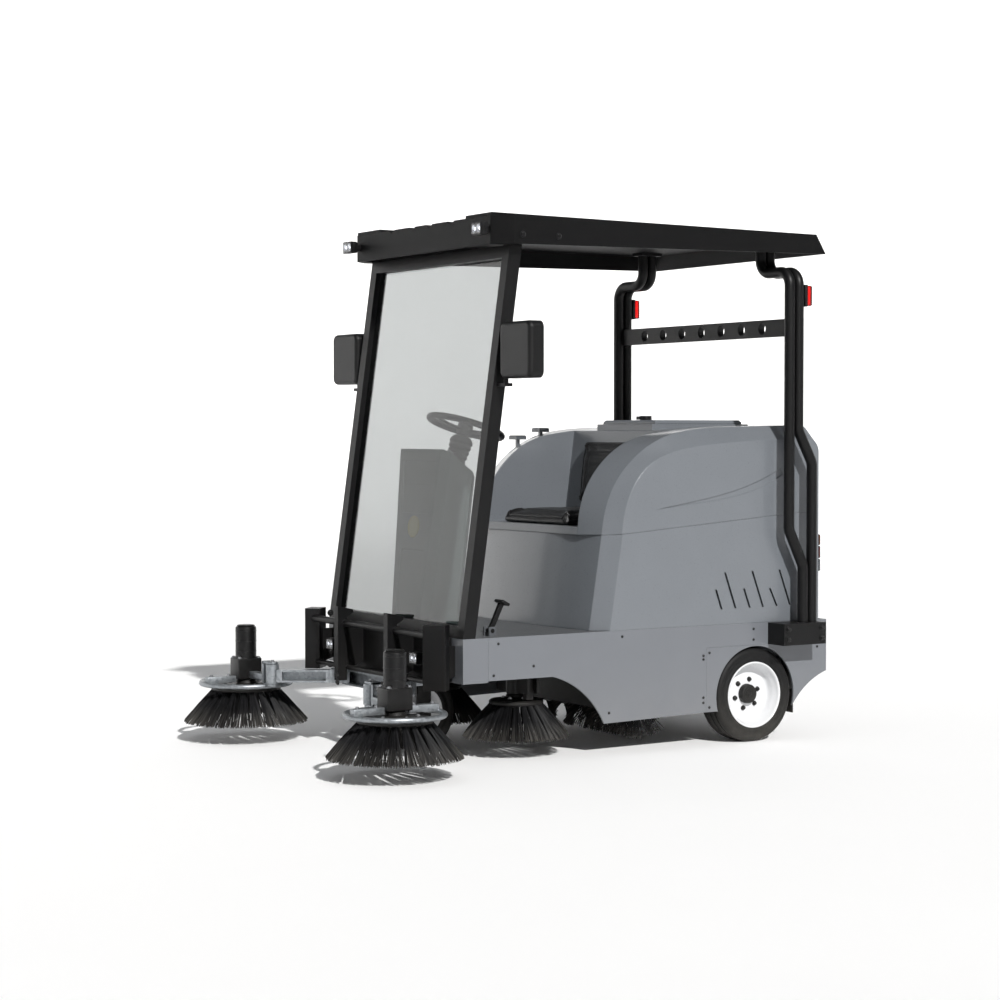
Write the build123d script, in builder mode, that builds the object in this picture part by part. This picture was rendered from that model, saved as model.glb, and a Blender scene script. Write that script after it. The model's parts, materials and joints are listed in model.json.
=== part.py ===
from build123d import *
import os
from math import atan2, cos, hypot, radians, sin

os.makedirs("parts", exist_ok=True)

# Ride-on sweeper, in millimetres.  +Z is up, the driver faces -Y, the vehicle's left is +X.
# The origin is on the floor, under the middle of the machine's outline.
# Stations ("y" in every outline below) are measured back from the chassis front face.

# ---------------------------------------------------------------- driving dimensions
body_half = 518          # half the body's width
body_length = 1697       # chassis front face to the rear end of the skirts
deck_top = 468           # top of the floor plate
deck_thick = 8
skin = 8                 # steel panels
shell_wall = 7           # moulded covers
seam = 0.5               # gap between covers that part
gap = 0.3                # gap between parts that move past each other
fit = 0.05               # radial clearance of a running fit

front_cap_length = 107   # front corner piece
skirt_low = 305          # lower edge of the front piece
skirt_seam = 382         # line where the lower panels start
skirt_bottom = 132       # lower edge between the arches

rear_wheel_r = 185
rear_wheel_wide = 118
rear_rim_r = 135
rear_wheel_y = 1338
wheel_gap = 7            # arch around the rear tyre

front_wheel_r = 150
front_wheel_wide = 96
front_wheel_y = 100
stem_r = 22

side_brush_x = 600       # front side brushes, in their raised place
side_brush_y = -327
side_tip_r = 245
side_tip_z = 73
side_root_r = 136
side_plate_z = 205
guard_ring_r = 175

mid_brush_x = 300
mid_brush_y = 365
mid_tip_r = 205
mid_tip_z = 66
mid_plate_r = 103
mid_plate_z = 197

roller_y = 900
roller_z = 173
roller_r = 150
roller_half = 388
carrier_y = 1052         # pivot of the roller's carrier
carrier_z = 285
carrier_r = 14

hopper_half = 328
hopper_y = 1110
hopper_low = 300
hopper_top = 800

knee_y = 588             # front of the body shell at the floor, at its corners
knee_bow = 36            # how far its middle stands forward
knee_lean = 0.159        # how far it leans back for each unit of height
bevel_x = 460            # where the corner bevel starts
bevel_run = 56
tail = 42                # skirts run this far behind the body shell

fender_in = 344          # inner face of the fenders
pan_z = 855              # seat pan
seat_half = 232
lid_half = 180
lid_y0 = 1085
lid_y1 = 1540
lid_z = 1247

pillar_wide = 45
pillar_lean = 0.1398
pillar_deep = 52
roof_eave = 49           # how far the roof stands out past the body on each side
roof_y0 = 124
roof_y1 = 1645
roof_z = 2000
roof_wall = 10

post_out = 63            # rear roll frame: its tubes run this far outside the body
post_r = 21
post_pitch = 44
post_y = 1452
bar_holes = 7
bar_hole_r = 22.5
bar_pitch = 133
bar_z = 1625
bar_half_high = 34

console_lean = 0.106
column_tilt = 18
wheel_centre = (326, 1235)
steer_r = 143
steer_rim_r = 13

# ---------------------------------------------------------------- derived values
front = (side_tip_r - side_brush_y - body_length) / 2
back_y = body_length - tail      # rear face of the body shell
roof_half = body_half + roof_eave
post_x = body_half + post_out
base_half = post_x + 39          # outer face of the roll frame's feet
tyre_out = body_half - 5
tyre_in = tyre_out - rear_wheel_wide
dish_x = tyre_out - 62
rail_out = body_half - 53
rail_in = rail_out - 50
rail_top = deck_top - deck_thick
rail_low = rail_top - 70
bracket_in = hopper_half + 22
axle_r = 30
axle_pad = axle_r + 7
hood_hinge = (back_y + 9, 905)
SIDES = (("left", 1), ("right", -1))


def split(y):
    """Height of the parting line between the body shell and the hood."""
    return 823 + 0.0774 * (y - 609)


# ---------------------------------------------------------------- planes and small shapes
def side(x):
    """Plane seen from the side: (station, height)."""
    return Plane(origin=(x, front, 0), x_dir=(0, 1, 0), z_dir=(1, 0, 0))


def face(y):
    """Plane seen from the front: (x, height)."""
    return Plane(origin=(0, front + y, 0), x_dir=(1, 0, 0), z_dir=(0, -1, 0))


def level(z):
    """Plane seen from above: (x, station)."""
    return Plane(origin=(0, front, z))


def place(x, y, z):
    return Vector(x, front + y, z)


def block(x0, x1, y0, y1, z0, z1, mode=Mode.ADD):
    with Locations(place((x0 + x1) / 2, (y0 + y1) / 2, (z0 + z1) / 2)):
        Box(abs(x1 - x0), abs(y1 - y0), abs(z1 - z0), mode=mode)


def plate(points, x0, x1, mode=Mode.ADD):
    """A flat piece with a side outline, between two x values."""
    with BuildSketch(side(x0)) as outline:
        Polygon(*points, align=None)
    extrude(outline.sketch, amount=x1 - x0, mode=mode)


def rod(start, end, radius, mode=Mode.ADD):
    begin, finish = place(*start), place(*end)
    with BuildSketch(Plane(origin=begin, z_dir=finish - begin)) as section:
        Circle(radius)
    extrude(section.sketch, amount=(finish - begin).length, mode=mode)


def pipe(points, radius, bend):
    """A round tube through the points, with equal bends."""
    route = [place(*point) for point in points]
    with BuildLine() as path:
        FilletPolyline(*route, radius=bend)
    with BuildSketch(Plane(origin=path.line @ 0, z_dir=path.line % 0)) as section:
        Circle(radius)
    sweep(section.sketch, path=path.line)


def save(piece, name):
    piece.part.label = name
    export_step(piece.part, f"parts/{name}.step")


# ---------------------------------------------------------------- chassis
with BuildPart() as chassis_frame:
    for _, s in SIDES:
        block(s * rail_in, s * rail_out, 12, body_length - skin, rail_low, rail_top)
        block(s * bracket_in, s * rail_in, rear_wheel_y - 38, rear_wheel_y + 38, rail_low + 5, rail_top - 15)
        block(s * bracket_in, s * (bracket_in + 35), rear_wheel_y - 38, rear_wheel_y + 38,
              rear_wheel_r + axle_pad, rail_low + 6)
        block(s * (hopper_half - 14), s * (bracket_in + 1), hopper_y, back_y - 20, hopper_low - 16,
              hopper_low - gap)
        block(s * rail_out, s * (body_half - skin), 1480, 1600, rail_low, rail_top - 5)
        block(s * (rail_in + 8), s * rail_out, 1542, 1566, 190, rail_low + 1)
        block(s * 372, s * (rail_in + 1), mid_brush_y - 20, mid_brush_y + 20, rail_low, rail_low + 12)
        block(s * 372, s * 396, mid_brush_y - 15, mid_brush_y + 15, 215, rail_low + 1)
    for y0, y1 in ((12, 62), (138, 178), (570, 620), (1066, 1100)):
        block(-rail_in, rail_in, y0, y1, rail_low, rail_top)
    block(-62, 62, 61, 139, rail_low, rail_top)
    rod((0, front_wheel_y, rail_low - 1), (0, front_wheel_y, rail_top + 1), stem_r + fit, Mode.SUBTRACT)
save(chassis_frame, "chassis_frame")

deck_half = body_half - skin
pedal_x, pedal_y, pedal_z = -250, 414, 480
lever_foot_x, lever_foot_y, lever_foot_z = 440, 160, 488
with BuildPart() as floor_deck:
    block(-deck_half, deck_half, skin, 1100, rail_top, deck_top)
    for s in (-1, 1):
        block(pedal_x + s * 46, pedal_x + s * 53, pedal_y - 13, pedal_y + 13, deck_top - 1, pedal_z + 13)
        block(lever_foot_x + s * 14, lever_foot_x + s * 22, lever_foot_y - 14, lever_foot_y + 14,
              deck_top - 1, lever_foot_z + 14)
    rod((pedal_x - 60, pedal_y, pedal_z), (pedal_x + 60, pedal_y, pedal_z), 7 + fit, Mode.SUBTRACT)
    rod((lever_foot_x - 30, lever_foot_y, lever_foot_z), (lever_foot_x + 30, lever_foot_y, lever_foot_z),
        8 + fit,
        Mode.SUBTRACT)
    rod((0, front_wheel_y, rail_top - 1), (0, front_wheel_y, deck_top + 1), stem_r + 4, Mode.SUBTRACT)
save(floor_deck, "floor_deck")

with BuildPart() as front_cap:
    block(-body_half, body_half, 0, front_cap_length, skirt_low, deck_top)
    block(-deck_half, deck_half, skin, front_cap_length + 1, skirt_low - 1, deck_top + 1, Mode.SUBTRACT)
save(front_cap, "front_cap")

arch_r = rear_wheel_r + wheel_gap
arch_y = (arch_r ** 2 - (rear_wheel_r - skirt_bottom) ** 2) ** 0.5
cover_y = 1097
for name, s in SIDES:
    with BuildPart() as side_skirt:
        with BuildSketch(side(s * deck_half)):
            with BuildLine():
                Polyline((388, 311), (front_cap_length + seam, 311), (front_cap_length + seam, deck_top),
                         (body_length, deck_top), (body_length, skirt_seam), (cover_y, skirt_seam),
                         (cover_y, skirt_bottom), (619, skirt_bottom - 11))
                ThreePointArc((619, skirt_bottom - 11), (522, 243), (388, 311))
            make_face()
        extrude(amount=s * skin)
        block(s * (hopper_half + 24), s * deck_half, body_length - skin, body_length, skirt_seam, deck_top)
    save(side_skirt, f"side_skirt_{name}")

    with BuildPart() as wheel_cover:
        with BuildSketch(side(s * deck_half)):
            with BuildLine():
                Polyline((rear_wheel_y - arch_y, skirt_bottom), (cover_y + seam, skirt_bottom),
                         (cover_y + seam, skirt_seam - seam), (body_length, skirt_seam - seam),
                         (body_length, 262))
                ThreePointArc((body_length, 262), (1584, 200), (rear_wheel_y + arch_y, skirt_bottom))
                ThreePointArc((rear_wheel_y + arch_y, skirt_bottom), (rear_wheel_y, rear_wheel_r + arch_r),
                              (rear_wheel_y - arch_y, skirt_bottom))
            make_face()
        extrude(amount=s * skin)
        block(s * (hopper_half + 24), s * deck_half, body_length - skin, body_length, 262, skirt_seam - seam)
    save(wheel_cover, f"wheel_cover_{name}")

# ---------------------------------------------------------------- front guard and brush arm beam
guard_y = -85
apron_y = -24
guard_post_x = 471
with BuildPart() as front_guard:
    for _, s in SIDES:
        with BuildSketch(level(285)):
            with Locations((s * guard_post_x, guard_y)):
                Rectangle(84, 60, rotation=s * 45)
        extrude(amount=236)
        plate(((guard_y, 440), (0, 440), (0, 330), (guard_y, 300)), s * (guard_post_x - 20),
              s * (guard_post_x - 8))
        plate(((-139, 262), (-100, 262), (-100, 505), (-72, 522), (-72, 534), (-139, 548)), s * 180, s * 210)
        plate(((-101, 470), (0, 455), (0, 340), (-101, 300)), s * 190, s * 200)
        block(s * 430, s * 438, apron_y, 0, skirt_low, 470)
    block(-438, 438, apron_y, apron_y + 4, skirt_low, 480)
    rod((-guard_post_x, guard_y - 20, 483), (guard_post_x, guard_y - 20, 483), 13.5)
    rod((-guard_post_x, guard_y - 10, 312), (guard_post_x, guard_y - 10, 312), 10)
save(front_guard, "front_guard")

beam_low, beam_top = 240, 300
arm_pivot = (262, -112, 270)     # lift pivot of the left arm
knuckle = (395, -312)            # swing pivot of the left motor bracket
arm_run = hypot(knuckle[0] - arm_pivot[0], knuckle[1] - arm_pivot[1])
arm_dir = ((knuckle[0] - arm_pivot[0]) / arm_run, (knuckle[1] - arm_pivot[1]) / arm_run)


def arm_plane(s, z):
    """Plan-view plane at the lift pivot: local x runs along the arm, towards the knuckle."""
    return Plane(origin=place(s * arm_pivot[0], arm_pivot[1], z), x_dir=(s * arm_dir[0], arm_dir[1], 0))


def along(s, run, across=0):
    """Point in plan at a distance along the arm, and across it towards the outside."""
    return (s * (arm_pivot[0] + arm_dir[0] * run - arm_dir[1] * across),
            arm_pivot[1] + arm_dir[1] * run + arm_dir[0] * across)


def arm_box(s, run0, run1, across0, across1, z0, z1, mode=Mode.ADD):
    corners = [along(s, *p) for p in ((run0, across0), (run1, across0), (run1, across1), (run0, across1))]
    with BuildSketch(level(z0)) as outline:
        Polygon(*corners, align=None)
    extrude(outline.sketch, amount=z1 - z0, mode=mode)


def cross_rod(s, run, z, across0, across1, radius, mode=Mode.ADD):
    """A round bar across the arm."""
    rod((*along(s, run, across0), z), (*along(s, run, across1), z), radius, mode)


arm_half = 24
ear = 8
pivot_r = 8
with BuildPart() as arm_beam:
    block(-250, 250, -85, -47, beam_low, beam_top)
    block(-243, 243, -92, -52, beam_low + 7, beam_top - 7, Mode.SUBTRACT)
    for _, s in SIDES:
        block(s * 150, s * 200, -48, 60, beam_top - 30, beam_top)
        block(s * 150, s * 200, 20, 60, beam_top - 1, rail_low)
        for edge in (-1, 1):
            arm_box(s, -44, 15, edge * (arm_half + gap), edge * (arm_half + gap + ear), beam_low + 8,
                    beam_top)
        arm_box(s, -62, -38, -arm_half - gap - ear, arm_half + gap + ear, beam_low + 8, beam_top)
        cross_rod(s, 0, arm_pivot[2], -arm_half - 14, arm_half + 14, pivot_r)
save(arm_beam, "arm_beam")

# ---------------------------------------------------------------- body shell and what it holds
def shell_outline(z, inset):
    """Plan outline of the body shell at a height."""
    lean = knee_lean * (z - deck_top)
    corner = (bevel_x - 0.45 * inset, knee_y + lean + inset)
    edge = (body_half - inset, knee_y + bevel_run + lean + 0.45 * inset)
    middle = (0, knee_y - knee_bow + lean + inset)
    rear = (body_half - inset, back_y - inset)
    with BuildLine() as outline:
        ThreePointArc((-corner[0], corner[1]), middle, corner)
        Polyline(corner, edge, rear, (-rear[0], rear[1]), (-edge[0], edge[1]), (-corner[0], corner[1]))
    make_face(outline.edges())


vent_rows = ((1143, 605, 1171, 528), (1187, 670, 1239, 529), (1280, 605, 1309, 529),
             (1321, 672, 1375, 529), (1409, 601, 1444, 530), (1457, 672, 1511, 531))
vent_wide = 9
shelf_z = hopper_top + 12
with BuildPart() as base_shell:
    for z in (deck_top, 960):
        with BuildSketch(level(z)):
            shell_outline(z, 0)
    loft(ruled=True)
    for z in (deck_top - 1, 961):
        with BuildSketch(level(z)):
            shell_outline(z, shell_wall)
    loft(ruled=True, mode=Mode.SUBTRACT)
    block(-deck_half, deck_half, 1085, back_y - 1, shelf_z, shelf_z + 6)
    block(-150, 150, 1140, 1490, shelf_z - 1, shelf_z + 7, Mode.SUBTRACT)
    plate(((400, split(400)), (back_y + 50, split(back_y + 50)), (back_y + 50, 1000), (400, 1000)),
          -body_half - 9, body_half + 9, Mode.SUBTRACT)
    block(-hopper_half - 8, hopper_half + 8, back_y - 20, back_y + 1, deck_top - 1, shelf_z - 1,
          Mode.SUBTRACT)
    for y_top, z_top, y_low, z_low in vent_rows:
        slot = ((y_top - vent_wide / 2, z_top), (y_top + vent_wide / 2, z_top),
                (y_low + vent_wide / 2, z_low), (y_low - vent_wide / 2, z_low))
        plate(slot, -body_half - 1, -body_half + shell_wall + 1, Mode.SUBTRACT)
        plate(slot, body_half - shell_wall - 1, body_half + 1, Mode.SUBTRACT)
    for x in (-300, 300):
        for y0, y1 in ((-28, -7), (7, 28)):
            block(x + y0, x + y1, back_y - 1, hood_hinge[0] + 8, hood_hinge[1] - 34, hood_hinge[1] - 8)
            block(x + y0, x + y1, hood_hinge[0] - 6, hood_hinge[0] + 8, hood_hinge[1] - 12, hood_hinge[1] + 8)
        rod((x - 30, *hood_hinge), (x + 30, *hood_hinge), 4)
save(base_shell, "base_shell")

with BuildPart() as battery_pack:
    for x in (-130, 130):
        for y in (790, 975):
            block(x - 122, x + 122, y - 88, y + 88, deck_top, deck_top + 255)
            for dx in (-80, 80):
                rod((x + dx, y, deck_top + 254), (x + dx, y, deck_top + 272), 9)
save(battery_pack, "battery_pack")

with BuildPart() as dust_filter:
    block(-165, 165, 1128, 1502, shelf_z + 6, shelf_z + 30)
    block(-145, 145, 1145, 1485, shelf_z + 29, shelf_z + 66)
save(dust_filter, "dust_filter")

with BuildPart() as vacuum_fan:
    rod((330, 1370, shelf_z + 6), (330, 1370, shelf_z + 96), 110)
    rod((330, 1370, shelf_z + 95), (330, 1370, shelf_z + 180), 62)
    block(330, 440, 1260, 1330, shelf_z + 6, shelf_z + 90)
save(vacuum_fan, "vacuum_fan")

# ---------------------------------------------------------------- roller housing and flap
housing_half = roller_half + 40
housing_y0 = roller_y - roller_r - 18
housing_y1 = carrier_y + 28
housing_top = roller_z + roller_r + 25
with BuildPart() as brush_housing:
    block(-housing_half, housing_half, housing_y0, housing_y1, 150, housing_top)
    block(-housing_half + 8, housing_half - 8, housing_y0 + 5, housing_y1 - 5, 149, housing_top - 5,
          Mode.SUBTRACT)
    block(-hopper_half, hopper_half, housing_y1 - 6, housing_y1 + 1, hopper_low + 10, housing_top - 6,
          Mode.SUBTRACT)
    for _, s in SIDES:
        block(s * (housing_half - 8), s * housing_half, housing_y0 + 20, housing_y1 - 10, housing_top - 1,
              rail_low)
    rod((-housing_half - 1, carrier_y, carrier_z), (housing_half + 1, carrier_y, carrier_z), carrier_r + fit,
        Mode.SUBTRACT)
save(brush_housing, "brush_housing")

with BuildPart() as rear_flap:
    block(-rail_out, rail_out, 1566, 1572, 95, hopper_low - 18)
save(rear_flap, "rear_flap")

# ---------------------------------------------------------------- rear axle
with BuildPart() as rear_axle:
    rod((-(bracket_in + 35), rear_wheel_y, rear_wheel_r), (bracket_in + 35, rear_wheel_y, rear_wheel_r),
        axle_r)
    rod((-dish_x - 4, rear_wheel_y, rear_wheel_r), (dish_x + 4, rear_wheel_y, rear_wheel_r), 18)
    rod((-70, rear_wheel_y, rear_wheel_r), (70, rear_wheel_y, rear_wheel_r), 82)
    rod((0, rear_wheel_y, rear_wheel_r), (0, 1140, rear_wheel_r), 62)
    for _, s in SIDES:
        block(s * bracket_in, s * (bracket_in + 35), rear_wheel_y - 38, rear_wheel_y + 38, rear_wheel_r,
              rear_wheel_r + axle_pad)
save(rear_axle, "rear_axle")

# ---------------------------------------------------------------- cab
pillar_top = roof_z - 22


def leaning(y, z):
    """Station of a point of the windshield frame that starts at y on the floor."""
    return y + pillar_lean * (z - deck_top)


def lean_strip(y0, y1, z0, z1):
    return ((leaning(y0, z0), z0), (leaning(y1, z0), z0), (leaning(y1, z1), z1), (leaning(y0, z1), z1))


mirror_z = 1392
mirror_x = body_half + 38
mirror_out = mirror_x + 192
mirror_y = leaning(30, mirror_z)
with BuildPart() as windshield_frame:
    for _, s in SIDES:
        plate(lean_strip(0, pillar_deep, deck_top, pillar_top), s * (body_half - pillar_wide), s * body_half)
        block(s * (body_half - 1), s * (mirror_x + 18), mirror_y - 16, mirror_y + 16, mirror_z - 12, mirror_z)
    inner = body_half - pillar_wide
    plate(lean_strip(0, pillar_deep, deck_top, 512), -inner, inner)
    plate(lean_strip(0, pillar_deep, 1850, 1895), -inner, inner)
save(windshield_frame, "windshield_frame")

with BuildPart() as windshield_glass:
    plate(lean_strip(22, 27, 512, 1850), -inner, inner)
save(windshield_glass, "windshield_glass")

roof_corner = 62
with BuildPart() as roof_canopy:
    plate(((roof_y0, 1894), (roof_y1, 1918), (roof_y1 - 48, 1993), (roof_y0, roof_z)), -roof_half, roof_half)
    for _, s in SIDES:
        plate(((roof_y0 + 4, 1990), (roof_y1 - 60, 1985), (roof_y1 - 60, 2000), (roof_y0 + 4, 2011)),
              s * 325, s * 508)
        for x in (65, 225):
            rod((s * x, roof_y0 - 5, roof_z + 22), (s * x, roof_y1 - 100, roof_z + 16), 32, Mode.SUBTRACT)
        with BuildSketch(level(1880)):
            Polygon((s * (roof_half + 1), roof_y0 - 1), (s * (roof_half - roof_corner), roof_y0 - 1),
                    (s * (roof_half + 1), roof_y0 + roof_corner + 4), align=None)
        extrude(amount=160, mode=Mode.SUBTRACT)
    for y0, half in ((roof_y0 + roof_wall, roof_half - roof_corner - 6),
                     (roof_y0 + 70, roof_half - roof_wall)):
        plate(((y0, 1880), (roof_y1 - roof_wall - 2, 1880), (roof_y1 - roof_wall - 2, 1908),
               (roof_y1 - 64, pillar_top), (y0, pillar_top)), -half, half, Mode.SUBTRACT)
save(roof_canopy, "roof_canopy")

stub_x = 400
arch_z = 1842
with BuildPart() as roll_frame:
    for _, s in SIDES:
        x = s * post_x
        y_low = post_y + 71
        pipe(((x, y_low, deck_top - 2), (x, y_low, 690), (x, post_y, 833), (x, post_y, arch_z),
              (s * stub_x, post_y, arch_z), (s * stub_x, post_y, pillar_top - 8)), post_r, 55)
        pipe(((x, y_low + post_pitch, deck_top - 2), (x, y_low + post_pitch, 1094),
              (x, post_y + post_pitch, 1224),
              (x, post_y + post_pitch, arch_z), (s * stub_x, post_y + post_pitch, arch_z),
              (s * stub_x, post_y + post_pitch, pillar_top - 8)), post_r, 55)
        block(s * body_half, s * base_half, post_y - 52, post_y + 158, skirt_seam, deck_top - 1)
        block(s * (stub_x - 35), s * (stub_x + 35), post_y - 30, post_y + post_pitch + 30, pillar_top - 12,
              pillar_top)
    block(-post_x + 5, post_x - 5, post_y + 8, post_y + 38, bar_z - bar_half_high, bar_z + bar_half_high)
    with BuildSketch(face(post_y - 5)):
        with GridLocations(bar_pitch, 1, bar_holes, 1):
            with Locations((0, bar_z)):
                Circle(bar_hole_r)
    extrude(amount=-60, mode=Mode.SUBTRACT)
save(roll_frame, "roll_frame")

with BuildPart() as headlamps:
    for _, s in SIDES:
        block(s * 299, s * 355, -100, -58, 368, 412)
        block(s * 312, s * 342, -59, apron_y, 380, 400)
        block(s * (roof_half - 108), s * (roof_half - 42), 70, 104, 1926, 1972)
        block(s * (roof_half - 97), s * (roof_half - 67), 103, roof_y0, 1936, 1962)
save(headlamps, "headlamps")

with BuildPart() as rear_lamps:
    for _, s in SIDES:
        block(s * 440, s * 500, back_y, back_y + 34, 656, 809)
        block(s * (post_x - 16), s * (post_x + 16), post_y + post_pitch + post_r, post_y + post_pitch + 62,
              1706, 1792)
save(rear_lamps, "rear_lamps")

# ---------------------------------------------------------------- console and steering
def console_outline(z, inset):
    rise = z - deck_top
    wide = 132 + 0.0750 * rise - inset
    y0 = 54 + console_lean * rise + inset
    y1 = 232 + 0.082 * rise - inset
    cut = 30
    Polygon((-wide + cut, y0), (wide - cut, y0), (wide, y0 + cut), (wide, y1 - cut), (wide - cut, y1),
            (-wide + cut, y1), (-wide, y1 - cut), (-wide, y0 + cut), align=None)


column_dir = (sin(radians(column_tilt)), cos(radians(column_tilt)))


def on_column(run):
    """Point on the steering column's axis, measured up from the wheel's centre."""
    return (0, wheel_centre[0] + column_dir[0] * run, wheel_centre[1] + column_dir[1] * run)


def column_plane(run):
    return Plane(origin=place(*on_column(run)), x_dir=(1, 0, 0), z_dir=(0, *column_dir))


console_front = Plane(origin=place(0, 54, deck_top), x_dir=(1, 0, 0), z_dir=(0, -1, console_lean))
dash_a = (134, 1150)
dash_b = (292, 1036)
dash_slope = atan2(dash_a[1] - dash_b[1], dash_b[0] - dash_a[0])
dash_up = Vector(0, sin(dash_slope), cos(dash_slope))
dash_length = hypot(dash_a[1] - dash_b[1], dash_b[0] - dash_a[0])


def dash_plane(rise):
    """Plane of the sloping dashboard: x across, y down its slope."""
    return Plane(origin=place(0, *dash_a) + dash_up * rise, x_dir=(-1, 0, 0), z_dir=dash_up)


key_at = (-95, -60)
stop_at = (95, -60)
shaft_r = 10
column_r = 21
with BuildPart() as console_shell:
    for z in (deck_top, 1170):
        with BuildSketch(level(z)):
            console_outline(z, 0)
    loft(ruled=True)
    plate((dash_a, dash_b, (400, 958), (400, 1300), (60, 1300), (60, dash_a[1] + 4)), -250, 250,
          Mode.SUBTRACT)
    for z in (deck_top - 1, 1015):
        with BuildSketch(level(z)):
            console_outline(z, 6)
    loft(ruled=True, mode=Mode.SUBTRACT)
    with BuildSketch(console_front):
        Polygon((-96, 440), (96, 440), (122, 640), (-122, 640), align=None)
        Polygon((-78, 60), (78, 60), (86, 300), (-86, 300), align=None)
    extrude(amount=-4, mode=Mode.SUBTRACT)
    with BuildSketch(column_plane(-330)):
        Circle(column_r + fit)
    extrude(amount=330, mode=Mode.SUBTRACT)
    with BuildSketch(dash_plane(-9)):
        with Locations(key_at, stop_at):
            Circle(10)
    extrude(amount=10, mode=Mode.SUBTRACT)
save(console_shell, "console_shell")

with BuildPart() as steering_column:
    with BuildSketch(column_plane(-300)):
        Circle(column_r)
    extrude(amount=262)
    with BuildSketch(column_plane(-150)):
        Circle(34)
    with BuildSketch(column_plane(-50)):
        Circle(46)
    loft()
    with BuildSketch(column_plane(-301)):
        Circle(shaft_r + fit)
    extrude(amount=280, mode=Mode.SUBTRACT)
save(steering_column, "steering_column")

hub_r = 30
with BuildPart() as steering_wheel:
    with BuildSketch(column_plane(-290)):
        Circle(shaft_r)
    extrude(amount=272)
    with BuildSketch(column_plane(-36)):
        Circle(hub_r)
    extrude(amount=34)
    with BuildSketch(column_plane(-3)):
        Circle(hub_r)
        Circle(20 + fit, mode=Mode.SUBTRACT)
    extrude(amount=13)
    with BuildSketch(Plane(origin=place(*on_column(0)), x_dir=(1, 0, 0),
                           z_dir=(0, -column_dir[1], column_dir[0]))):
        with Locations((steer_r, 0)):
            Circle(steer_rim_r)
    revolve(axis=Axis(place(*on_column(0)), (0, *column_dir)), revolution_arc=360)
    for turn in (90, 210, 330):
        with BuildSketch(column_plane(-18)):
            with PolarLocations((hub_r + steer_r) / 2, 1, start_angle=turn):
                Rectangle(steer_r - hub_r + 8, 26)
        extrude(amount=12)
save(steering_wheel, "steering_wheel")

with BuildPart() as horn_button:
    with BuildSketch(column_plane(gap + 3)):
        Circle(20 - fit)
    extrude(amount=11)
save(horn_button, "horn_button")

with BuildPart() as dashboard:
    with BuildSketch(dash_plane(0)):
        with Locations((0, -70)):
            RectangleRounded(280, 116, 12)
    extrude(amount=8)
    with BuildSketch(dash_plane(-1)):
        with Locations(key_at, stop_at):
            Circle(9 + fit)
        with Locations((0, -dash_length)):
            Rectangle(2 * column_r + 30, 74)
    extrude(amount=10, mode=Mode.SUBTRACT)
save(dashboard, "dashboard")

for name, centre, cap in (("key_switch", key_at, 14), ("stop_button", stop_at, 19)):
    with BuildPart() as control:
        with BuildSketch(dash_plane(1)):
            with Locations(centre):
                Circle(9)
        extrude(amount=13)
        with BuildSketch(dash_plane(13.9)):
            with Locations(centre):
                Circle(cap)
        extrude(amount=8)
        if name == "key_switch":
            with BuildSketch(dash_plane(21)):
                with Locations(centre):
                    Rectangle(5, 24)
            extrude(amount=16)
    save(control, name)

# ---------------------------------------------------------------- front wheel
fork_in = front_wheel_wide / 2 + 8
crown_z = front_wheel_r * 2 + 16
with BuildPart() as front_fork:
    for _, s in SIDES:
        block(s * fork_in, s * (fork_in + 14), front_wheel_y - 28, front_wheel_y + 28, front_wheel_r - 22,
              crown_z + 1)
        rod((s * (fork_in + 13), front_wheel_y, front_wheel_r),
            (s * (fork_in + 20), front_wheel_y, front_wheel_r), 16)
    block(-fork_in - 14, fork_in + 14, front_wheel_y - 32, front_wheel_y + 32, crown_z, crown_z + 26)
    rod((0, front_wheel_y, crown_z + 25), (0, front_wheel_y, rail_low - gap), 42)
    rod((0, front_wheel_y, rail_low - 1), (0, front_wheel_y, 545), stem_r)
    rod((-fork_in - 1, front_wheel_y, front_wheel_r), (fork_in + 1, front_wheel_y, front_wheel_r), 10)
save(front_fork, "front_fork")


def wheel_section(x0, x1, r0, r1, soft):
    """Half section of a tyre with rounded shoulders, drawn as (x, radius)."""
    with BuildLine() as outline:
        Line((x0, r0), (x0, r1 - soft))
        ThreePointArc((x0, r1 - soft), (x0 + soft * 0.29, r1 - soft * 0.29), (x0 + soft, r1))
        Line((x0 + soft, r1), (x1 - soft, r1))
        ThreePointArc((x1 - soft, r1), (x1 - soft * 0.29, r1 - soft * 0.29), (x1, r1 - soft))
        Polyline((x1, r1 - soft), (x1, r0), (x0, r0))
    make_face(outline.edges())


def wheel_plane(y, z):
    """Plane for drawing (x, radius) sections about an axle along X."""
    return Plane(origin=place(0, y, z), x_dir=(1, 0, 0), z_dir=(0, -1, 0))


def axle(y, z):
    return Axis(place(0, y, z), (1, 0, 0))


with BuildPart() as front_wheel:
    with BuildSketch(wheel_plane(front_wheel_y, front_wheel_r)):
        wheel_section(-front_wheel_wide / 2, front_wheel_wide / 2, 10 + fit, front_wheel_r, 16)
        with Locations((0, 65)):
            with GridLocations(front_wheel_wide, 1, 2, 1):
                Rectangle(44, 56, mode=Mode.SUBTRACT)
    revolve(axis=axle(front_wheel_y, front_wheel_r), revolution_arc=360)
save(front_wheel, "front_wheel")

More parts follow.
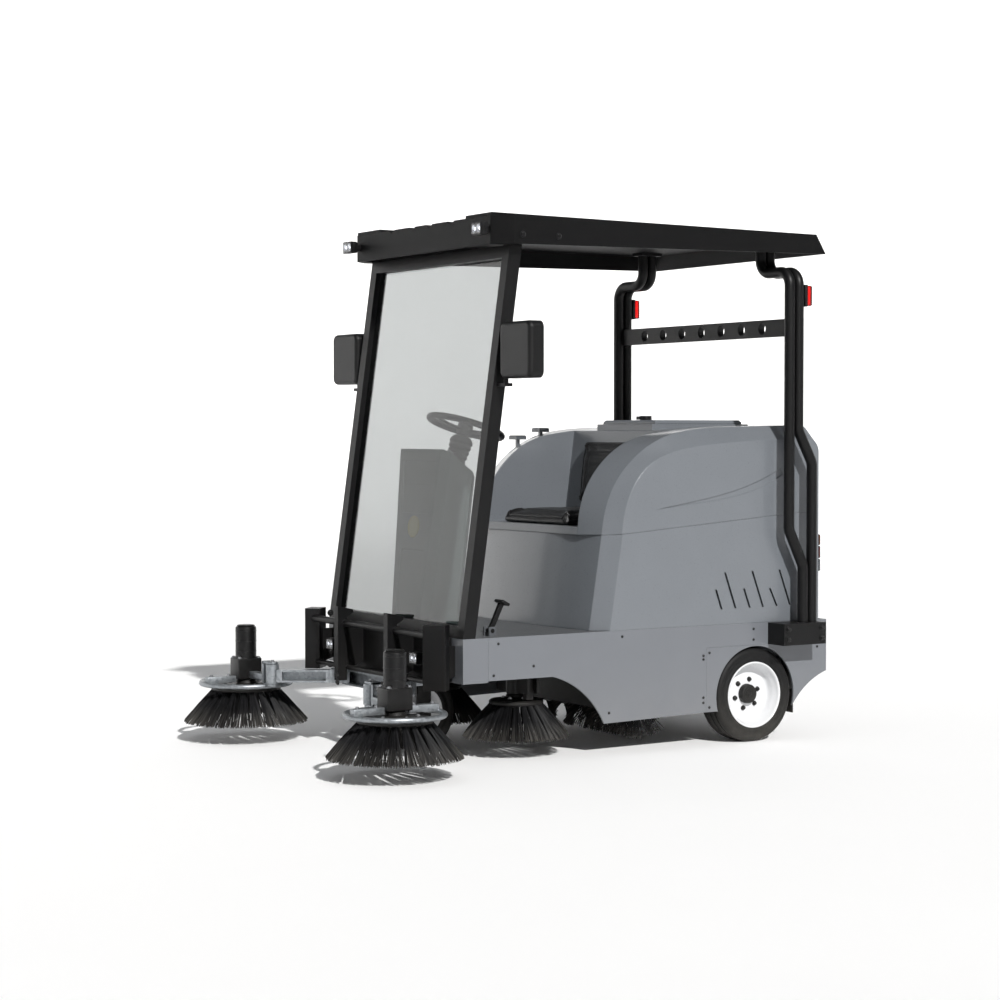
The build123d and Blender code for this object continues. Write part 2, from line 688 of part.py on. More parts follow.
# ---------------------------------------------------------------- rear wheels
lug_r = 62
for name, s in SIDES:
    with BuildPart() as rear_tyre:
        with BuildSketch(wheel_plane(rear_wheel_y, rear_wheel_r)):
            wheel_section(min(s * tyre_in, s * tyre_out), max(s * tyre_in, s * tyre_out), rear_rim_r,
                          rear_wheel_r, 16)
        revolve(axis=axle(rear_wheel_y, rear_wheel_r), revolution_arc=360)
    save(rear_tyre, f"rear_tyre_{name}")

    with BuildPart() as rear_rim:
        for x0, x1, r0, r1 in ((tyre_in + 4, tyre_out - 2, rear_rim_r - 6, rear_rim_r),
                               (dish_x - 10, dish_x, 18 + fit, rear_rim_r - 5),
                               (dish_x - 22, dish_x + 8, 18 + fit, 38),
                               (dish_x + 7, dish_x + 24, 0, 36)):
            with BuildSketch(wheel_plane(rear_wheel_y, rear_wheel_r)):
                with Locations((s * (x0 + x1) / 2, (r0 + r1) / 2)):
                    Rectangle(x1 - x0, r1 - r0)
            revolve(axis=axle(rear_wheel_y, rear_wheel_r), revolution_arc=360)
        with BuildSketch(Plane(origin=place(s * (dish_x - 1), rear_wheel_y, rear_wheel_r), z_dir=(s, 0, 0))):
            with PolarLocations(lug_r, 6):
                RegularPolygon(10, 6)
        extrude(amount=11)
    save(rear_rim, f"rear_rim_{name}")

# ---------------------------------------------------------------- hood, seat and lid
back_wall_low = 1012
back_wall_lean = 0.135


def back_wall(z):
    return back_wall_low + back_wall_lean * (z - pan_z)


hood_end = back_y - 55
hood_sections = {
    body_half: ((699, 0), (716, 925), (756, 1015), (830, 1093), (930, 1137), (1080, 1164), (1330, 1182),
                (hood_end, 1190)),
    bevel_x: ((645, 0), (658, 905), (697, 1005), (768, 1094), (868, 1167), (990, 1212), (1254, 1235),
              (hood_end, 1243)),
    fender_in: ((612, 0), (620, 905), (655, 1010), (722, 1098), (826, 1172), (960, 1209), (1254, 1234),
                (hood_end, 1243)),
}


def hood_outline(points):
    low_front = (points[0][0], split(points[0][0]) + seam)
    low_back = (back_y, split(back_y) + seam)
    z_end = points[-1][1]
    with BuildLine() as outline:
        Spline(low_front, *points[1:], tangents=((0.08, 1), (1, 0.02)))
        ThreePointArc(points[-1], (back_y - 16, z_end - 16), (back_y, z_end - 56))
        Line((back_y, z_end - 56), low_back)
        Line(low_back, low_front)
    make_face(outline.edges())


lever_x = -430
lever_pivot_z = 1142
lever_spots = {"front_lift_lever": (836, 1184), "main_lift_lever": (949,
                                                                    1215)}   # station, underside of the grip
with BuildPart() as hood_shell:
    for x in (-body_half, -bevel_x, -fender_in, fender_in, bevel_x, body_half):
        with BuildSketch(side(x)):
            hood_outline(hood_sections[abs(x)])
    loft(ruled=True)
    block(-lid_half - 12, lid_half + 12, lid_y0 - 12, lid_y1 + 14, 1200, lid_z)
    plate(((500, pan_z), (back_wall(pan_z), pan_z), (back_wall(1300), 1300), (500, 1300)), -fender_in,
          fender_in,
          Mode.SUBTRACT)
    cavity_wall = 12
    block(-body_half + cavity_wall, body_half - cavity_wall, 1090, back_y - cavity_wall, 800, 1148,
          Mode.SUBTRACT)
    block(-bevel_x + 14, bevel_x - 14, 1090, back_y - 60, 1140, 1206, Mode.SUBTRACT)
    block(-fender_in - cavity_wall, fender_in + cavity_wall, 650, 1091, 780, pan_z - 9, Mode.SUBTRACT)
    for _, s in SIDES:
        plate(((726, 790), (742, 925), (782, 1008), (850, 1078), (942, 1120), (1091, 1146), (1091, 790)),
              s * (fender_in + cavity_wall), s * (body_half - cavity_wall), Mode.SUBTRACT)
        with BuildSketch(side(s * (body_half - 3))):
            with BuildLine():
                Spline((842, 918), (1161, 953), (1358, 997), (1473, 1050))
                Line((1473, 1050), (1462, 1074))
                Spline((1462, 1074), (1345, 1021), (1150, 968), (842, 918))
            make_face()
        extrude(amount=s * 4, mode=Mode.SUBTRACT)
    block(-lid_half + 20, lid_half - 20, lid_y0 + 25, lid_y1 - 45, 1190, lid_z + 1, Mode.SUBTRACT)
    for x in (-120, 120):
        block(x - 17, x + 17, lid_y1 - 15, lid_y1 + 12, lid_z - 4, lid_z + 1, Mode.SUBTRACT)
        for y0, y1 in ((-25, -16 - gap), (16 + gap, 25)):
            block(x + y0, x + y1, lid_y1 - 7, lid_y1 + 7, lid_z - 2, lid_z + 13)
        rod((x - 20, lid_y1, lid_z + 8), (x + 20, lid_y1, lid_z + 8), 3)
    for x in (-300, 300):
        block(x - 31, x + 31, back_y - 6, back_y + 1, hood_hinge[1] - 5, hood_hinge[1] + 14, Mode.SUBTRACT)
        block(x - 6, x + 6, back_y - 7, hood_hinge[0] + 7, hood_hinge[1] + 3, hood_hinge[1] + 24)
        block(x - 6, x + 6, hood_hinge[0] - 6, hood_hinge[0] + 7, hood_hinge[1] - 6, hood_hinge[1] + 4)
        rod((x - 7, *hood_hinge), (x + 7, *hood_hinge), 4 + gap, Mode.SUBTRACT)
        rod((x - 31, *hood_hinge), (x + 31, *hood_hinge), 4 + gap, Mode.SUBTRACT)
    for y, _ in lever_spots.values():
        block(lever_x - 12, lever_x + 12, y - 44, y + 14, lever_pivot_z - 17, 1300, Mode.SUBTRACT)
        rod((lever_x - 26, y, lever_pivot_z), (lever_x + 26, y, lever_pivot_z), 5 + fit, Mode.SUBTRACT)
save(hood_shell, "hood_shell")

for name, (y, head) in lever_spots.items():
    with BuildPart() as lever:
        block(lever_x - 8, lever_x + 8, y - 6, y + 6, lever_pivot_z - 10, head + 1)
        rod((lever_x - 26, y, lever_pivot_z), (lever_x + 26, y, lever_pivot_z), 5)
        block(lever_x - 30, lever_x + 30, y - 24, y + 24, head, head + 18)
        fillet(lever.edges().group_by(Axis.Z)[-1], 6)
    save(lever, name)

with BuildPart() as seat_cushion:
    block(-seat_half, seat_half, 631, 1004, pan_z, pan_z + 56)
    fillet(seat_cushion.edges().filter_by(Axis.Z), 34)
    fillet(seat_cushion.edges().group_by(Axis.Z)[-1], 18)
save(seat_cushion, "seat_cushion")

back_thick = 42
with BuildPart() as seat_backrest:
    plate(((back_wall(915) - back_thick, 915), (back_wall(915), 915), (back_wall(1186), 1186),
           (back_wall(1186) - back_thick, 1186)), -seat_half + 2, seat_half - 2)
    fillet(seat_backrest.edges().filter_by(Axis.Y, tolerance=1).group_by(Axis.Z)[-1], 36)
save(seat_backrest, "seat_backrest")

latch_y = 1180
with BuildPart() as filter_lid:
    with BuildSketch(level(lid_z + gap)):
        with Locations((0, (lid_y0 + lid_y1) / 2)):
            Rectangle(2 * lid_half, lid_y1 - lid_y0 - 20)
    extrude(amount=8)
    with BuildSketch(level(lid_z + gap + 7)):
        with Locations((0, (lid_y0 + lid_y1) / 2)):
            Rectangle(2 * lid_half, lid_y1 - lid_y0 - 20)
    extrude(amount=9, taper=40)
    rod((0, latch_y, lid_z - 1), (0, latch_y, lid_z + 30), 9 + fit, Mode.SUBTRACT)
    for x in (-120, 120):
        block(x - 16, x + 16, lid_y1 - 14, lid_y1 + 6, lid_z + gap, lid_z + 14)
        rod((x - 16, lid_y1, lid_z + 8), (x + 16, lid_y1, lid_z + 8), 3 + gap, Mode.SUBTRACT)
save(filter_lid, "filter_lid")

with BuildPart() as lid_latch:
    rod((0, latch_y, lid_z - 6), (0, latch_y, lid_z + 18), 9)
    rod((0, latch_y, lid_z + 16 + gap + 0.4), (0, latch_y, lid_z + 34), 24)
    block(-11, 11, latch_y - 40, latch_y + 22, lid_z + 18, lid_z + 32)
save(lid_latch, "lid_latch")

# ---------------------------------------------------------------- side brushes
boss_low = beam_low + 2
boss_top = beam_top + 16
motor_r = 41
ring_z = 228
ring_tube = 10
brush_shaft_r = 12
box_low, box_top = 244, 325
for name, s in SIDES:
    bx, by = s * side_brush_x, side_brush_y
    kx, ky = s * knuckle[0], knuckle[1]
    with BuildPart() as side_arm:
        arm_box(s, -14, arm_run - 18, -arm_half, arm_half, beam_low + 8, beam_top - 4)
        arm_box(s, 30, arm_run - 40, -arm_half - 1, arm_half - 6, beam_low + 15, beam_top - 11, Mode.SUBTRACT)
        rod((kx, ky, boss_low), (kx, ky, boss_top), 26)
        rod((kx, ky, boss_low - 1), (kx, ky, boss_top + 1), 10 + fit, Mode.SUBTRACT)
        cross_rod(s, 0, arm_pivot[2], -arm_half - 1, arm_half + 1, pivot_r + fit, Mode.SUBTRACT)
    save(side_arm, f"side_arm_{name}")

    with BuildPart() as side_motor:
        rod((bx, by, box_top - 1), (bx, by, 451), motor_r)
        block(bx - 40, bx + 40, by - 50, by + 50, box_low, box_top)
        rod((bx, by, box_low - 1), (bx, by, box_low + 10), brush_shaft_r + fit, Mode.SUBTRACT)
        rod((kx, ky, boss_low - 12), (kx, ky, boss_top + 10), 10)
        for z0, z1 in ((boss_low - 12, boss_low - gap), (boss_top + gap, boss_top + 10)):
            rod((kx, ky, z0), (kx, ky, z1), 22)
            block(kx, s * (knuckle[0] + 52), ky - 20, ky + 14, z0, z1)
        block(s * (knuckle[0] + 40), s * (knuckle[0] + 52), ky - 20, ky + 14, boss_low - 12, boss_top + 10)
        block(s * (knuckle[0] + 51), s * (side_brush_x - 39), ky - 20, ky + 14, box_low + 4, box_low + 30)
        with BuildSketch(Plane(origin=place(bx, by, ring_z), x_dir=(1, 0, 0), z_dir=(0, -1, 0))):
            with Locations((guard_ring_r, 0)):
                Circle(ring_tube)
        revolve(axis=Axis(place(bx, by, ring_z), (0, 0, 1)), revolution_arc=360)
        block(bx - 15, bx + 15, by + 49, by + guard_ring_r - 4, ring_z + 3, ring_z + 30)
        block(bx - 15, bx + 15, by - guard_ring_r + 4, by - 49, ring_z + 3, ring_z + 30)
    save(side_motor, f"side_motor_{name}")

    with BuildPart() as side_brush:
        with BuildSketch(Plane(origin=place(bx, by, 0), x_dir=(1, 0, 0), z_dir=(0, -1, 0))):
            Polygon((0, side_plate_z), (side_root_r - 40, side_plate_z), (side_tip_r - 62, side_tip_z + 6),
                    (side_tip_r, side_tip_z), (side_root_r, side_plate_z), (side_root_r - 8,
                                                                            side_plate_z + 10),
                    (44, side_plate_z + 10), (40, box_low - 2), (0, box_low - 2), align=None)
        revolve(axis=Axis(place(bx, by, 0), (0, 0, 1)), revolution_arc=360)
        rod((bx, by, box_low - 3), (bx, by, box_low + 9), brush_shaft_r)
    save(side_brush, f"side_brush_{name}")

    mx, my = s * mid_brush_x, mid_brush_y
    with BuildPart() as mid_motor:
        rod((mx, my, 232), (mx, my, rail_low - 12), 38)
        block(mx, s * (372 - gap), my - 18, my + 18, 240, 300)
        block(s * 345, s * 420, my + 15 + gap, my + 27, 240, 300)
        block(s * 345, s * 420, my - 27, my - 15 - gap, 240, 300)
        block(s * 345, s * (372 - gap), my - 27, my + 27, 240, 300)
        rod((mx, my, 231), (mx, my, 244), brush_shaft_r + fit, Mode.SUBTRACT)
    save(mid_motor, f"mid_motor_{name}")

    with BuildPart() as mid_brush:
        with BuildSketch(Plane(origin=place(mx, my, 0), x_dir=(1, 0, 0), z_dir=(0, -1, 0))):
            Polygon((0, mid_plate_z), (mid_plate_r - 40, mid_plate_z), (mid_tip_r - 60, mid_tip_z + 6),
                    (mid_tip_r, mid_tip_z), (mid_plate_r, mid_plate_z), (mid_plate_r - 6, mid_plate_z + 12),
                    (36, mid_plate_z + 12), (36, 230), (0, 230), align=None)
        revolve(axis=Axis(place(mx, my, 0), (0, 0, 1)), revolution_arc=360)
        rod((mx, my, 229), (mx, my, 243), brush_shaft_r)
    save(mid_brush, f"mid_brush_{name}")

    # mirrors turn on a pin that stands on the pillar's lug
    with BuildPart() as mirror:
        x0, x1 = s * (mirror_x - 14), s * mirror_out
        block(x0, x1, mirror_y - 22, mirror_y + 38, mirror_z + 16, 1612)
        fillet(mirror.edges().filter_by(Axis.Y), 26)
        fillet(mirror.faces().sort_by(Axis.Y)[0].edges(), 16)
        block(s * (mirror_x + 12), s * (mirror_out - 14), mirror_y + 33, mirror_y + 39, mirror_z + 34, 1596,
              Mode.SUBTRACT)
        rod((s * mirror_x, mirror_y, mirror_z + gap), (s * mirror_x, mirror_y, mirror_z + 60), 9)
    save(mirror, f"mirror_{name}")

# ---------------------------------------------------------------- roller and hopper
plate_x = roller_half + 10
with BuildPart() as brush_carrier:
    rod((-housing_half, carrier_y, carrier_z), (housing_half, carrier_y, carrier_z), carrier_r)
    for _, s in SIDES:
        plate(((roller_y - 26, roller_z - 26), (roller_y + 26, roller_z - 26),
               (carrier_y + 16, carrier_z - 14),
               (carrier_y + 8, carrier_z + 22), (carrier_y - 18, carrier_z + 20), (roller_y - 26,
                                                                                   roller_z + 26)),
              s * plate_x, s * (plate_x + 12))
    rod((-housing_half, roller_y, roller_z), (housing_half, roller_y, roller_z), 14 + fit, Mode.SUBTRACT)
save(brush_carrier, "brush_carrier")

with BuildPart() as main_brush:
    rod((-roller_half, roller_y, roller_z), (roller_half, roller_y, roller_z), roller_r)
    rod((-roller_half - 24, roller_y, roller_z), (roller_half + 24, roller_y, roller_z), 14)
save(main_brush, "main_brush")

bin_wall = 5
with BuildPart() as hopper_bin:
    block(-hopper_half, hopper_half, hopper_y, back_y + 2, hopper_low, hopper_top)
    block(-hopper_half + bin_wall, hopper_half - bin_wall, hopper_y + bin_wall, back_y - bin_wall,
          hopper_low + bin_wall, hopper_top + 1, Mode.SUBTRACT)
    block(-hopper_half + 20, hopper_half - 20, hopper_y - 1, hopper_y + bin_wall + 1, hopper_low + 60,
          hopper_top + 1, Mode.SUBTRACT)
    block(-hopper_half - 16, hopper_half + 16, back_y + 1, back_y + 20, hopper_low - 10, hopper_top + 8)
    for _, s in SIDES:
        block(s * 90, s * 104, back_y + 19, back_y + 40, 640, 660)
    block(-104, 104, back_y + 30, back_y + 42, 642, 658)
save(hopper_bin, "hopper_bin")

# ---------------------------------------------------------------- foot controls
with BuildPart() as drive_pedal:
    plate(((235, 540), (242, 548), (418, 486), (418, 476), (404, 476)), pedal_x - 45, pedal_x + 45)
    rod((pedal_x - 53, pedal_y, pedal_z), (pedal_x + 53, pedal_y, pedal_z), 7)
save(drive_pedal, "drive_pedal")

with BuildPart() as foot_lever:
    rod((lever_foot_x - 24, lever_foot_y, lever_foot_z), (lever_foot_x + 24, lever_foot_y, lever_foot_z), 8)
    plate(((152, 482), (168, 480), (222, 588), (206, 596)), lever_foot_x - 8, lever_foot_x + 8)
    plate(((196, 592), (203, 600), (232, 585), (228, 576)), lever_foot_x - 28, lever_foot_x + 28)
save(foot_lever, "foot_lever")
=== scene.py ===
import json
import math

import bmesh
import bpy
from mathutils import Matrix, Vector
from mathutils.bvhtree import BVHTree

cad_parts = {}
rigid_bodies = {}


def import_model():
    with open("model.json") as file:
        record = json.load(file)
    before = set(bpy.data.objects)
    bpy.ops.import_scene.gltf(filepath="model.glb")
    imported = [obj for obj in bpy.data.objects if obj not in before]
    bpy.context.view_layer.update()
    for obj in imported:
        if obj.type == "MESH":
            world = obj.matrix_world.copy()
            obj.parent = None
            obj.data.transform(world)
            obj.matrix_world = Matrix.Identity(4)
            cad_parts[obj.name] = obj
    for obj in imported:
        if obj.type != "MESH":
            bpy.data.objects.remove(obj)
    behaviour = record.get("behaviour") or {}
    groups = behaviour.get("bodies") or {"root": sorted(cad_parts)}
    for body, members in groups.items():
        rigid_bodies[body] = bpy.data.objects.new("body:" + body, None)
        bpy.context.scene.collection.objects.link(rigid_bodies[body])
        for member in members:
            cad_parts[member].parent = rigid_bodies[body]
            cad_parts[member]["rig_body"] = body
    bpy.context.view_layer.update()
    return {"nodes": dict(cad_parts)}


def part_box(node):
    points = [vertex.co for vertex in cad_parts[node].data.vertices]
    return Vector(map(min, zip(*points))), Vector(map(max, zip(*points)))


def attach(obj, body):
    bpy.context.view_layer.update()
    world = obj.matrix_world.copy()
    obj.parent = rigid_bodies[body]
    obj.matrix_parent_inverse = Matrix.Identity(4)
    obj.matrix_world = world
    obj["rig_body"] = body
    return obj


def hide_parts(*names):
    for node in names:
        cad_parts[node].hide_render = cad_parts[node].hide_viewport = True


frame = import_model()

# Ride-on sweeper.  Metres, +Z up, the driver faces -Y, the vehicle's left side is +X.
SIDES = (("left", 1), ("right", -1))
X, Y, Z = Vector((1, 0, 0)), Vector((0, 1, 0)), Vector((0, 0, 1))
scene = bpy.context.scene
scene.view_settings.view_transform = "Standard"


# ---------------------------------------------------------------- camera, floor and light
def aim(item, place, direction):
    item.location = place
    item.rotation_euler = Vector(direction).to_track_quat("-Z", "Y").to_euler()
    scene.collection.objects.link(item)


def make_camera():
    lens = bpy.data.cameras.new("camera")
    lens.lens, lens.sensor_width = 80.5, 36
    camera = bpy.data.objects.new("camera", lens)
    turn, tip = math.radians(57.98), math.radians(1.733)
    level = math.cos(tip)
    aim(camera, (7.399, -4.7085, 1.214),
        (-math.sin(turn) * level, math.cos(turn) * level, -math.sin(tip)))
    scene.camera = camera


def make_studio():
    """A pale dish: a flat floor that sweeps up into a wall all the way round."""
    floor_r, sweep_r, wall_top, steps = 15.0, 5.0, 8.0, 12
    profile = [(0, 0), (floor_r, 0)]
    for k in range(1, steps + 1):
        turn = math.pi / 2 * k / steps
        profile.append((floor_r + sweep_r * math.sin(turn), sweep_r * (1 - math.cos(turn))))
    profile.append((floor_r + sweep_r, wall_top))
    shape = bmesh.new()
    turned(shape, profile, (0, 0, 0), Z, 96, closed=False)
    bmesh.ops.reverse_faces(shape, faces=shape.faces)
    mesh = bpy.data.meshes.new("studio_floor")
    shape.to_mesh(mesh)
    mesh.shade_smooth()
    floor = bpy.data.objects.new("studio_floor", mesh)
    scene.collection.objects.link(floor)
    tree, shader = blank("studio_paper", roughness=0.8)
    grain = group(tree, "surface_grain", {"Scale": 60, "Mottle Scale": 0.4})
    tint(tree, shader, shade(250, 250, 250), 0.01, grain)
    mesh.materials.append(finishes["studio_paper"])
    floor.visible_shadow = False


def make_lights():
    world = bpy.data.worlds.new("studio")
    world.use_nodes = True
    world.node_tree.nodes["Background"].inputs["Color"].default_value = (0.93, 0.96, 1.0, 1)
    world.node_tree.nodes["Background"].inputs["Strength"].default_value = 0.17
    scene.world = world
    sun = bpy.data.lights.new("key_sun", "SUN")
    sun.energy, sun.angle, sun.color = 4.1, math.radians(1.5), (1.0, 0.99, 0.975)
    aim(bpy.data.objects.new("key_sun", sun), (6, -2, 6), (-0.80, 0.12, -0.588))
    for name, place, direction, size, power in (
            ("top_light", (0.4, -0.6, 7.5), (0, 0.02, -1), 6.0, 45),
            ("front_light", (-3.5, -8.5, 4.5), (0.4, 0.85, -0.35), 4.0, 8)):
        lamp = bpy.data.lights.new(name, "AREA")
        lamp.size, lamp.energy = size, power
        aim(bpy.data.objects.new(name, lamp), place, direction)


# ---------------------------------------------------------------- node helpers
def node(tree, kind, inputs=None, **settings):
    """Adds a node.  An input's value is a number, a colour or another node's output."""
    made = tree.nodes.new(kind)
    for name, value in settings.items():
        setattr(made, name, value)
    for socket, value in (inputs or {}).items():
        if isinstance(value, bpy.types.NodeSocket):
            tree.links.new(value, made.inputs[socket])
        else:
            made.inputs[socket].default_value = value
    return made


def calc(tree, operation, *values):
    """A Math node's output."""
    return node(tree, "ShaderNodeMath", dict(enumerate(values)), operation=operation).outputs[0]


def times(tree, first, second):
    return calc(tree, "MULTIPLY", first, second)


def plus(tree, first, second):
    return calc(tree, "ADD", first, second)


def minus(tree, first, second):
    return calc(tree, "SUBTRACT", first, second)


def ratio(tree, first, second):
    return calc(tree, "DIVIDE", first, second)


def lerp(tree, share, low, high):
    """low + share * (high - low)"""
    return calc(tree, "MULTIPLY_ADD", share, minus(tree, high, low), low)


def ramp(tree, value, low, high, to_low=0.0, to_high=1.0, soft=False):
    kind = "SMOOTHSTEP" if soft else "LINEAR"
    return node(tree, "ShaderNodeMapRange", {"Value": value, "From Min": low, "From Max": high,
                                             "To Min": to_low, "To Max": to_high},
                interpolation_type=kind).outputs["Result"]


def mix(tree, share, first, second):
    made = node(tree, "ShaderNodeMix", data_type="RGBA")
    for socket, value in ((0, share), (6, first), (7, second)):
        if isinstance(value, bpy.types.NodeSocket):
            tree.links.new(value, made.inputs[socket])
        else:
            made.inputs[socket].default_value = value
    return made.outputs[2]


def start_group(name, kind, inputs, outputs):
    """A node group with named sockets, and its input and output nodes."""
    tree = bpy.data.node_groups.new(name, kind)
    for label, socket, value in inputs:
        item = tree.interface.new_socket(label, in_out="INPUT", socket_type="NodeSocket" + socket)
        if value is not None:
            item.default_value = value
    for label, socket in outputs:
        tree.interface.new_socket(label, in_out="OUTPUT", socket_type="NodeSocket" + socket)
    return tree, tree.nodes.new("NodeGroupInput").outputs, tree.nodes.new("NodeGroupOutput")


def group(tree, name, values):
    made = node(tree, "ShaderNodeGroup", node_tree=bpy.data.node_groups[name])
    for label, value in values.items():
        if isinstance(value, bpy.types.NodeSocket):
            tree.links.new(value, made.inputs[label])
        else:
            made.inputs[label].default_value = value
    return made.outputs


def shade(red, green, blue):
    """Linear colour of a 0-255 screen colour."""
    def linear(part):
        part /= 255
        return part / 12.92 if part <= 0.04045 else ((part + 0.055) / 1.055) ** 2.4
    return (linear(red), linear(green), linear(blue), 1.0)


def scaled(colour, factor):
    return (*(min(1.0, part * factor) for part in colour[:3]), 1.0)


# ---------------------------------------------------------------- effects shared by the finishes
def make_grain_group():
    """Fine grain for relief and gloss, and a slow mottle for colour."""
    tree, given, out = start_group(
        "surface_grain", "ShaderNodeTree",
        [("Scale", "Float", 400.0), ("Mottle Scale", "Float", 5.0), ("Stretch", "Vector", (1, 1, 1))],
        [("Height", "Float"), ("Fine", "Float"), ("Mottle", "Float")])
    place = node(tree, "ShaderNodeTexCoord").outputs["Object"]
    spread = node(tree, "ShaderNodeVectorMath", {0: place, 1: given["Stretch"]},
                  operation="MULTIPLY").outputs[0]
    fine = node(tree, "ShaderNodeTexNoise", {"Vector": spread, "Scale": given["Scale"], "Detail": 3.0})
    slow = node(tree, "ShaderNodeTexNoise", {"Vector": spread, "Scale": given["Mottle Scale"],
                                             "Detail": 5.0, "Roughness": 0.6})
    middle = node(tree, "ShaderNodeTexNoise", {"Vector": spread, "Scale": times(tree, given["Scale"], 0.17),
                                               "Detail": 2.0})
    both = calc(tree, "MULTIPLY_ADD", fine.outputs["Fac"], 0.65,
                times(tree, middle.outputs["Fac"], 0.35))
    tree.links.new(both, out.inputs["Height"])
    tree.links.new(ramp(tree, fine.outputs["Fac"], 0.3, 0.7), out.inputs["Fine"])
    tree.links.new(ramp(tree, slow.outputs["Fac"], 0.3, 0.7), out.inputs["Mottle"])


def make_wear_group():
    """Softened edges, and a broken mask along them where paint rubs thin."""
    tree, given, out = start_group(
        "edge_wear", "ShaderNodeTree",
        [("Radius", "Float", 0.002), ("Amount", "Float", 0.5)],
        [("Mask", "Float"), ("Normal", "Vector")])
    soft = node(tree, "ShaderNodeBevel", {"Radius": given["Radius"]}, samples=4).outputs["Normal"]
    flat = node(tree, "ShaderNodeNewGeometry").outputs["Normal"]
    facing = node(tree, "ShaderNodeVectorMath", {0: soft, 1: flat}, operation="DOT_PRODUCT").outputs["Value"]
    edge = ramp(tree, minus(tree, 1.0, facing), 0.02, 0.18, soft=True)
    place = node(tree, "ShaderNodeTexCoord").outputs["Object"]
    patches = node(tree, "ShaderNodeTexNoise", {"Vector": place, "Scale": 38.0, "Detail": 6.0,
                                                "Roughness": 0.7}).outputs["Fac"]
    broken = ramp(tree, patches, 0.42, 0.62, soft=True)
    tree.links.new(times(tree, times(tree, edge, broken), given["Amount"]),
                   out.inputs["Mask"])
    tree.links.new(soft, out.inputs["Normal"])


def make_dust_group():
    """Road dust: thickest near the floor and on faces that look up."""
    tree, given, out = start_group(
        "road_dust", "ShaderNodeTree",
        [("Top", "Float", 0.6), ("Amount", "Float", 0.4), ("Settled", "Float", 0.1)], [("Mask", "Float")])
    place = node(tree, "ShaderNodeTexCoord").outputs["Object"]
    height = node(tree, "ShaderNodeSeparateXYZ", {0: place}).outputs["Z"]
    low = calc(tree, "POWER", ramp(tree, height, given["Top"], 0.0), 1.6)
    normal = node(tree, "ShaderNodeNewGeometry").outputs["Normal"]
    upward = ramp(tree, node(tree, "ShaderNodeSeparateXYZ", {0: normal}).outputs["Z"], 0.6, 1.0)
    blotch = node(tree, "ShaderNodeTexNoise", {"Vector": place, "Scale": 14.0, "Detail": 7.0,
                                               "Roughness": 0.72}).outputs["Fac"]
    total = plus(tree, times(tree, low, given["Amount"]),
                 times(tree, upward, given["Settled"]))
    patchy = times(tree, total, ramp(tree, blotch, 0.3, 0.7, 0.35, 1.0))
    tree.links.new(node(tree, "ShaderNodeClamp", {"Value": patchy}).outputs[0], out.inputs["Mask"])


def make_pebble_group():
    """Pebbled skin of vinyl and moulded plastic: rounded cells with creases between them.  The Crease output
    is the mask that the finishes use to paint shade into the creases.
    """
    tree, given, out = start_group(
        "pebble_skin", "ShaderNodeTree", [("Scale", "Float", 500.0), ("Crease", "Float", 0.3)],
        [("Height", "Float"), ("Crease", "Float")])
    place = node(tree, "ShaderNodeTexCoord").outputs["Object"]
    bent = node(tree, "ShaderNodeTexNoise", {"Vector": place, "Scale": times(tree, given["Scale"], 0.3),
                                             "Detail": 2.0}).outputs["Color"]
    shifted = node(tree, "ShaderNodeVectorMath", {0: bent, 1: place, "Scale": 0.004},
                   operation="SCALE").outputs[0]
    moved = node(tree, "ShaderNodeVectorMath", {0: shifted, 1: place}, operation="ADD").outputs[0]
    cells = node(tree, "ShaderNodeTexVoronoi", {"Vector": moved, "Scale": given["Scale"]},
                 feature="DISTANCE_TO_EDGE").outputs["Distance"]
    height = ramp(tree, cells, 0.0, given["Crease"], soft=True)
    tree.links.new(height, out.inputs["Height"])
    tree.links.new(minus(tree, 1.0, height), out.inputs["Crease"])


# ---------------------------------------------------------------- finishes
DUST = shade(148, 143, 134)
STEEL = shade(150, 152, 155)
finishes = {}


def blank(name, **values):
    """A finish: its tree and its Principled shader with constants set on its own sockets."""
    material = bpy.data.materials.new(name)
    material.use_nodes = True
    tree = material.node_tree
    shader = tree.nodes["Principled BSDF"]
    names = {"roughness": "Roughness", "metallic": "Metallic", "coat": "Coat Weight",
             "coat_roughness": "Coat Roughness", "specular": "Specular IOR Level",
             "transmission": "Transmission Weight", "ior": "IOR", "glow": "Emission Strength"}
    for key, value in values.items():
        shader.inputs[names[key]].default_value = value
    finishes[name] = material
    return tree, shader


def tint(tree, shader, colour, mottle, grain):
    """Base colour that drifts a little lighter and darker, returned for more layers."""
    tone = mix(tree, grain["Mottle"], scaled(colour, 1 - mottle), scaled(colour, 1 + mottle))
    tree.links.new(tone, shader.inputs["Base Color"])
    return tone


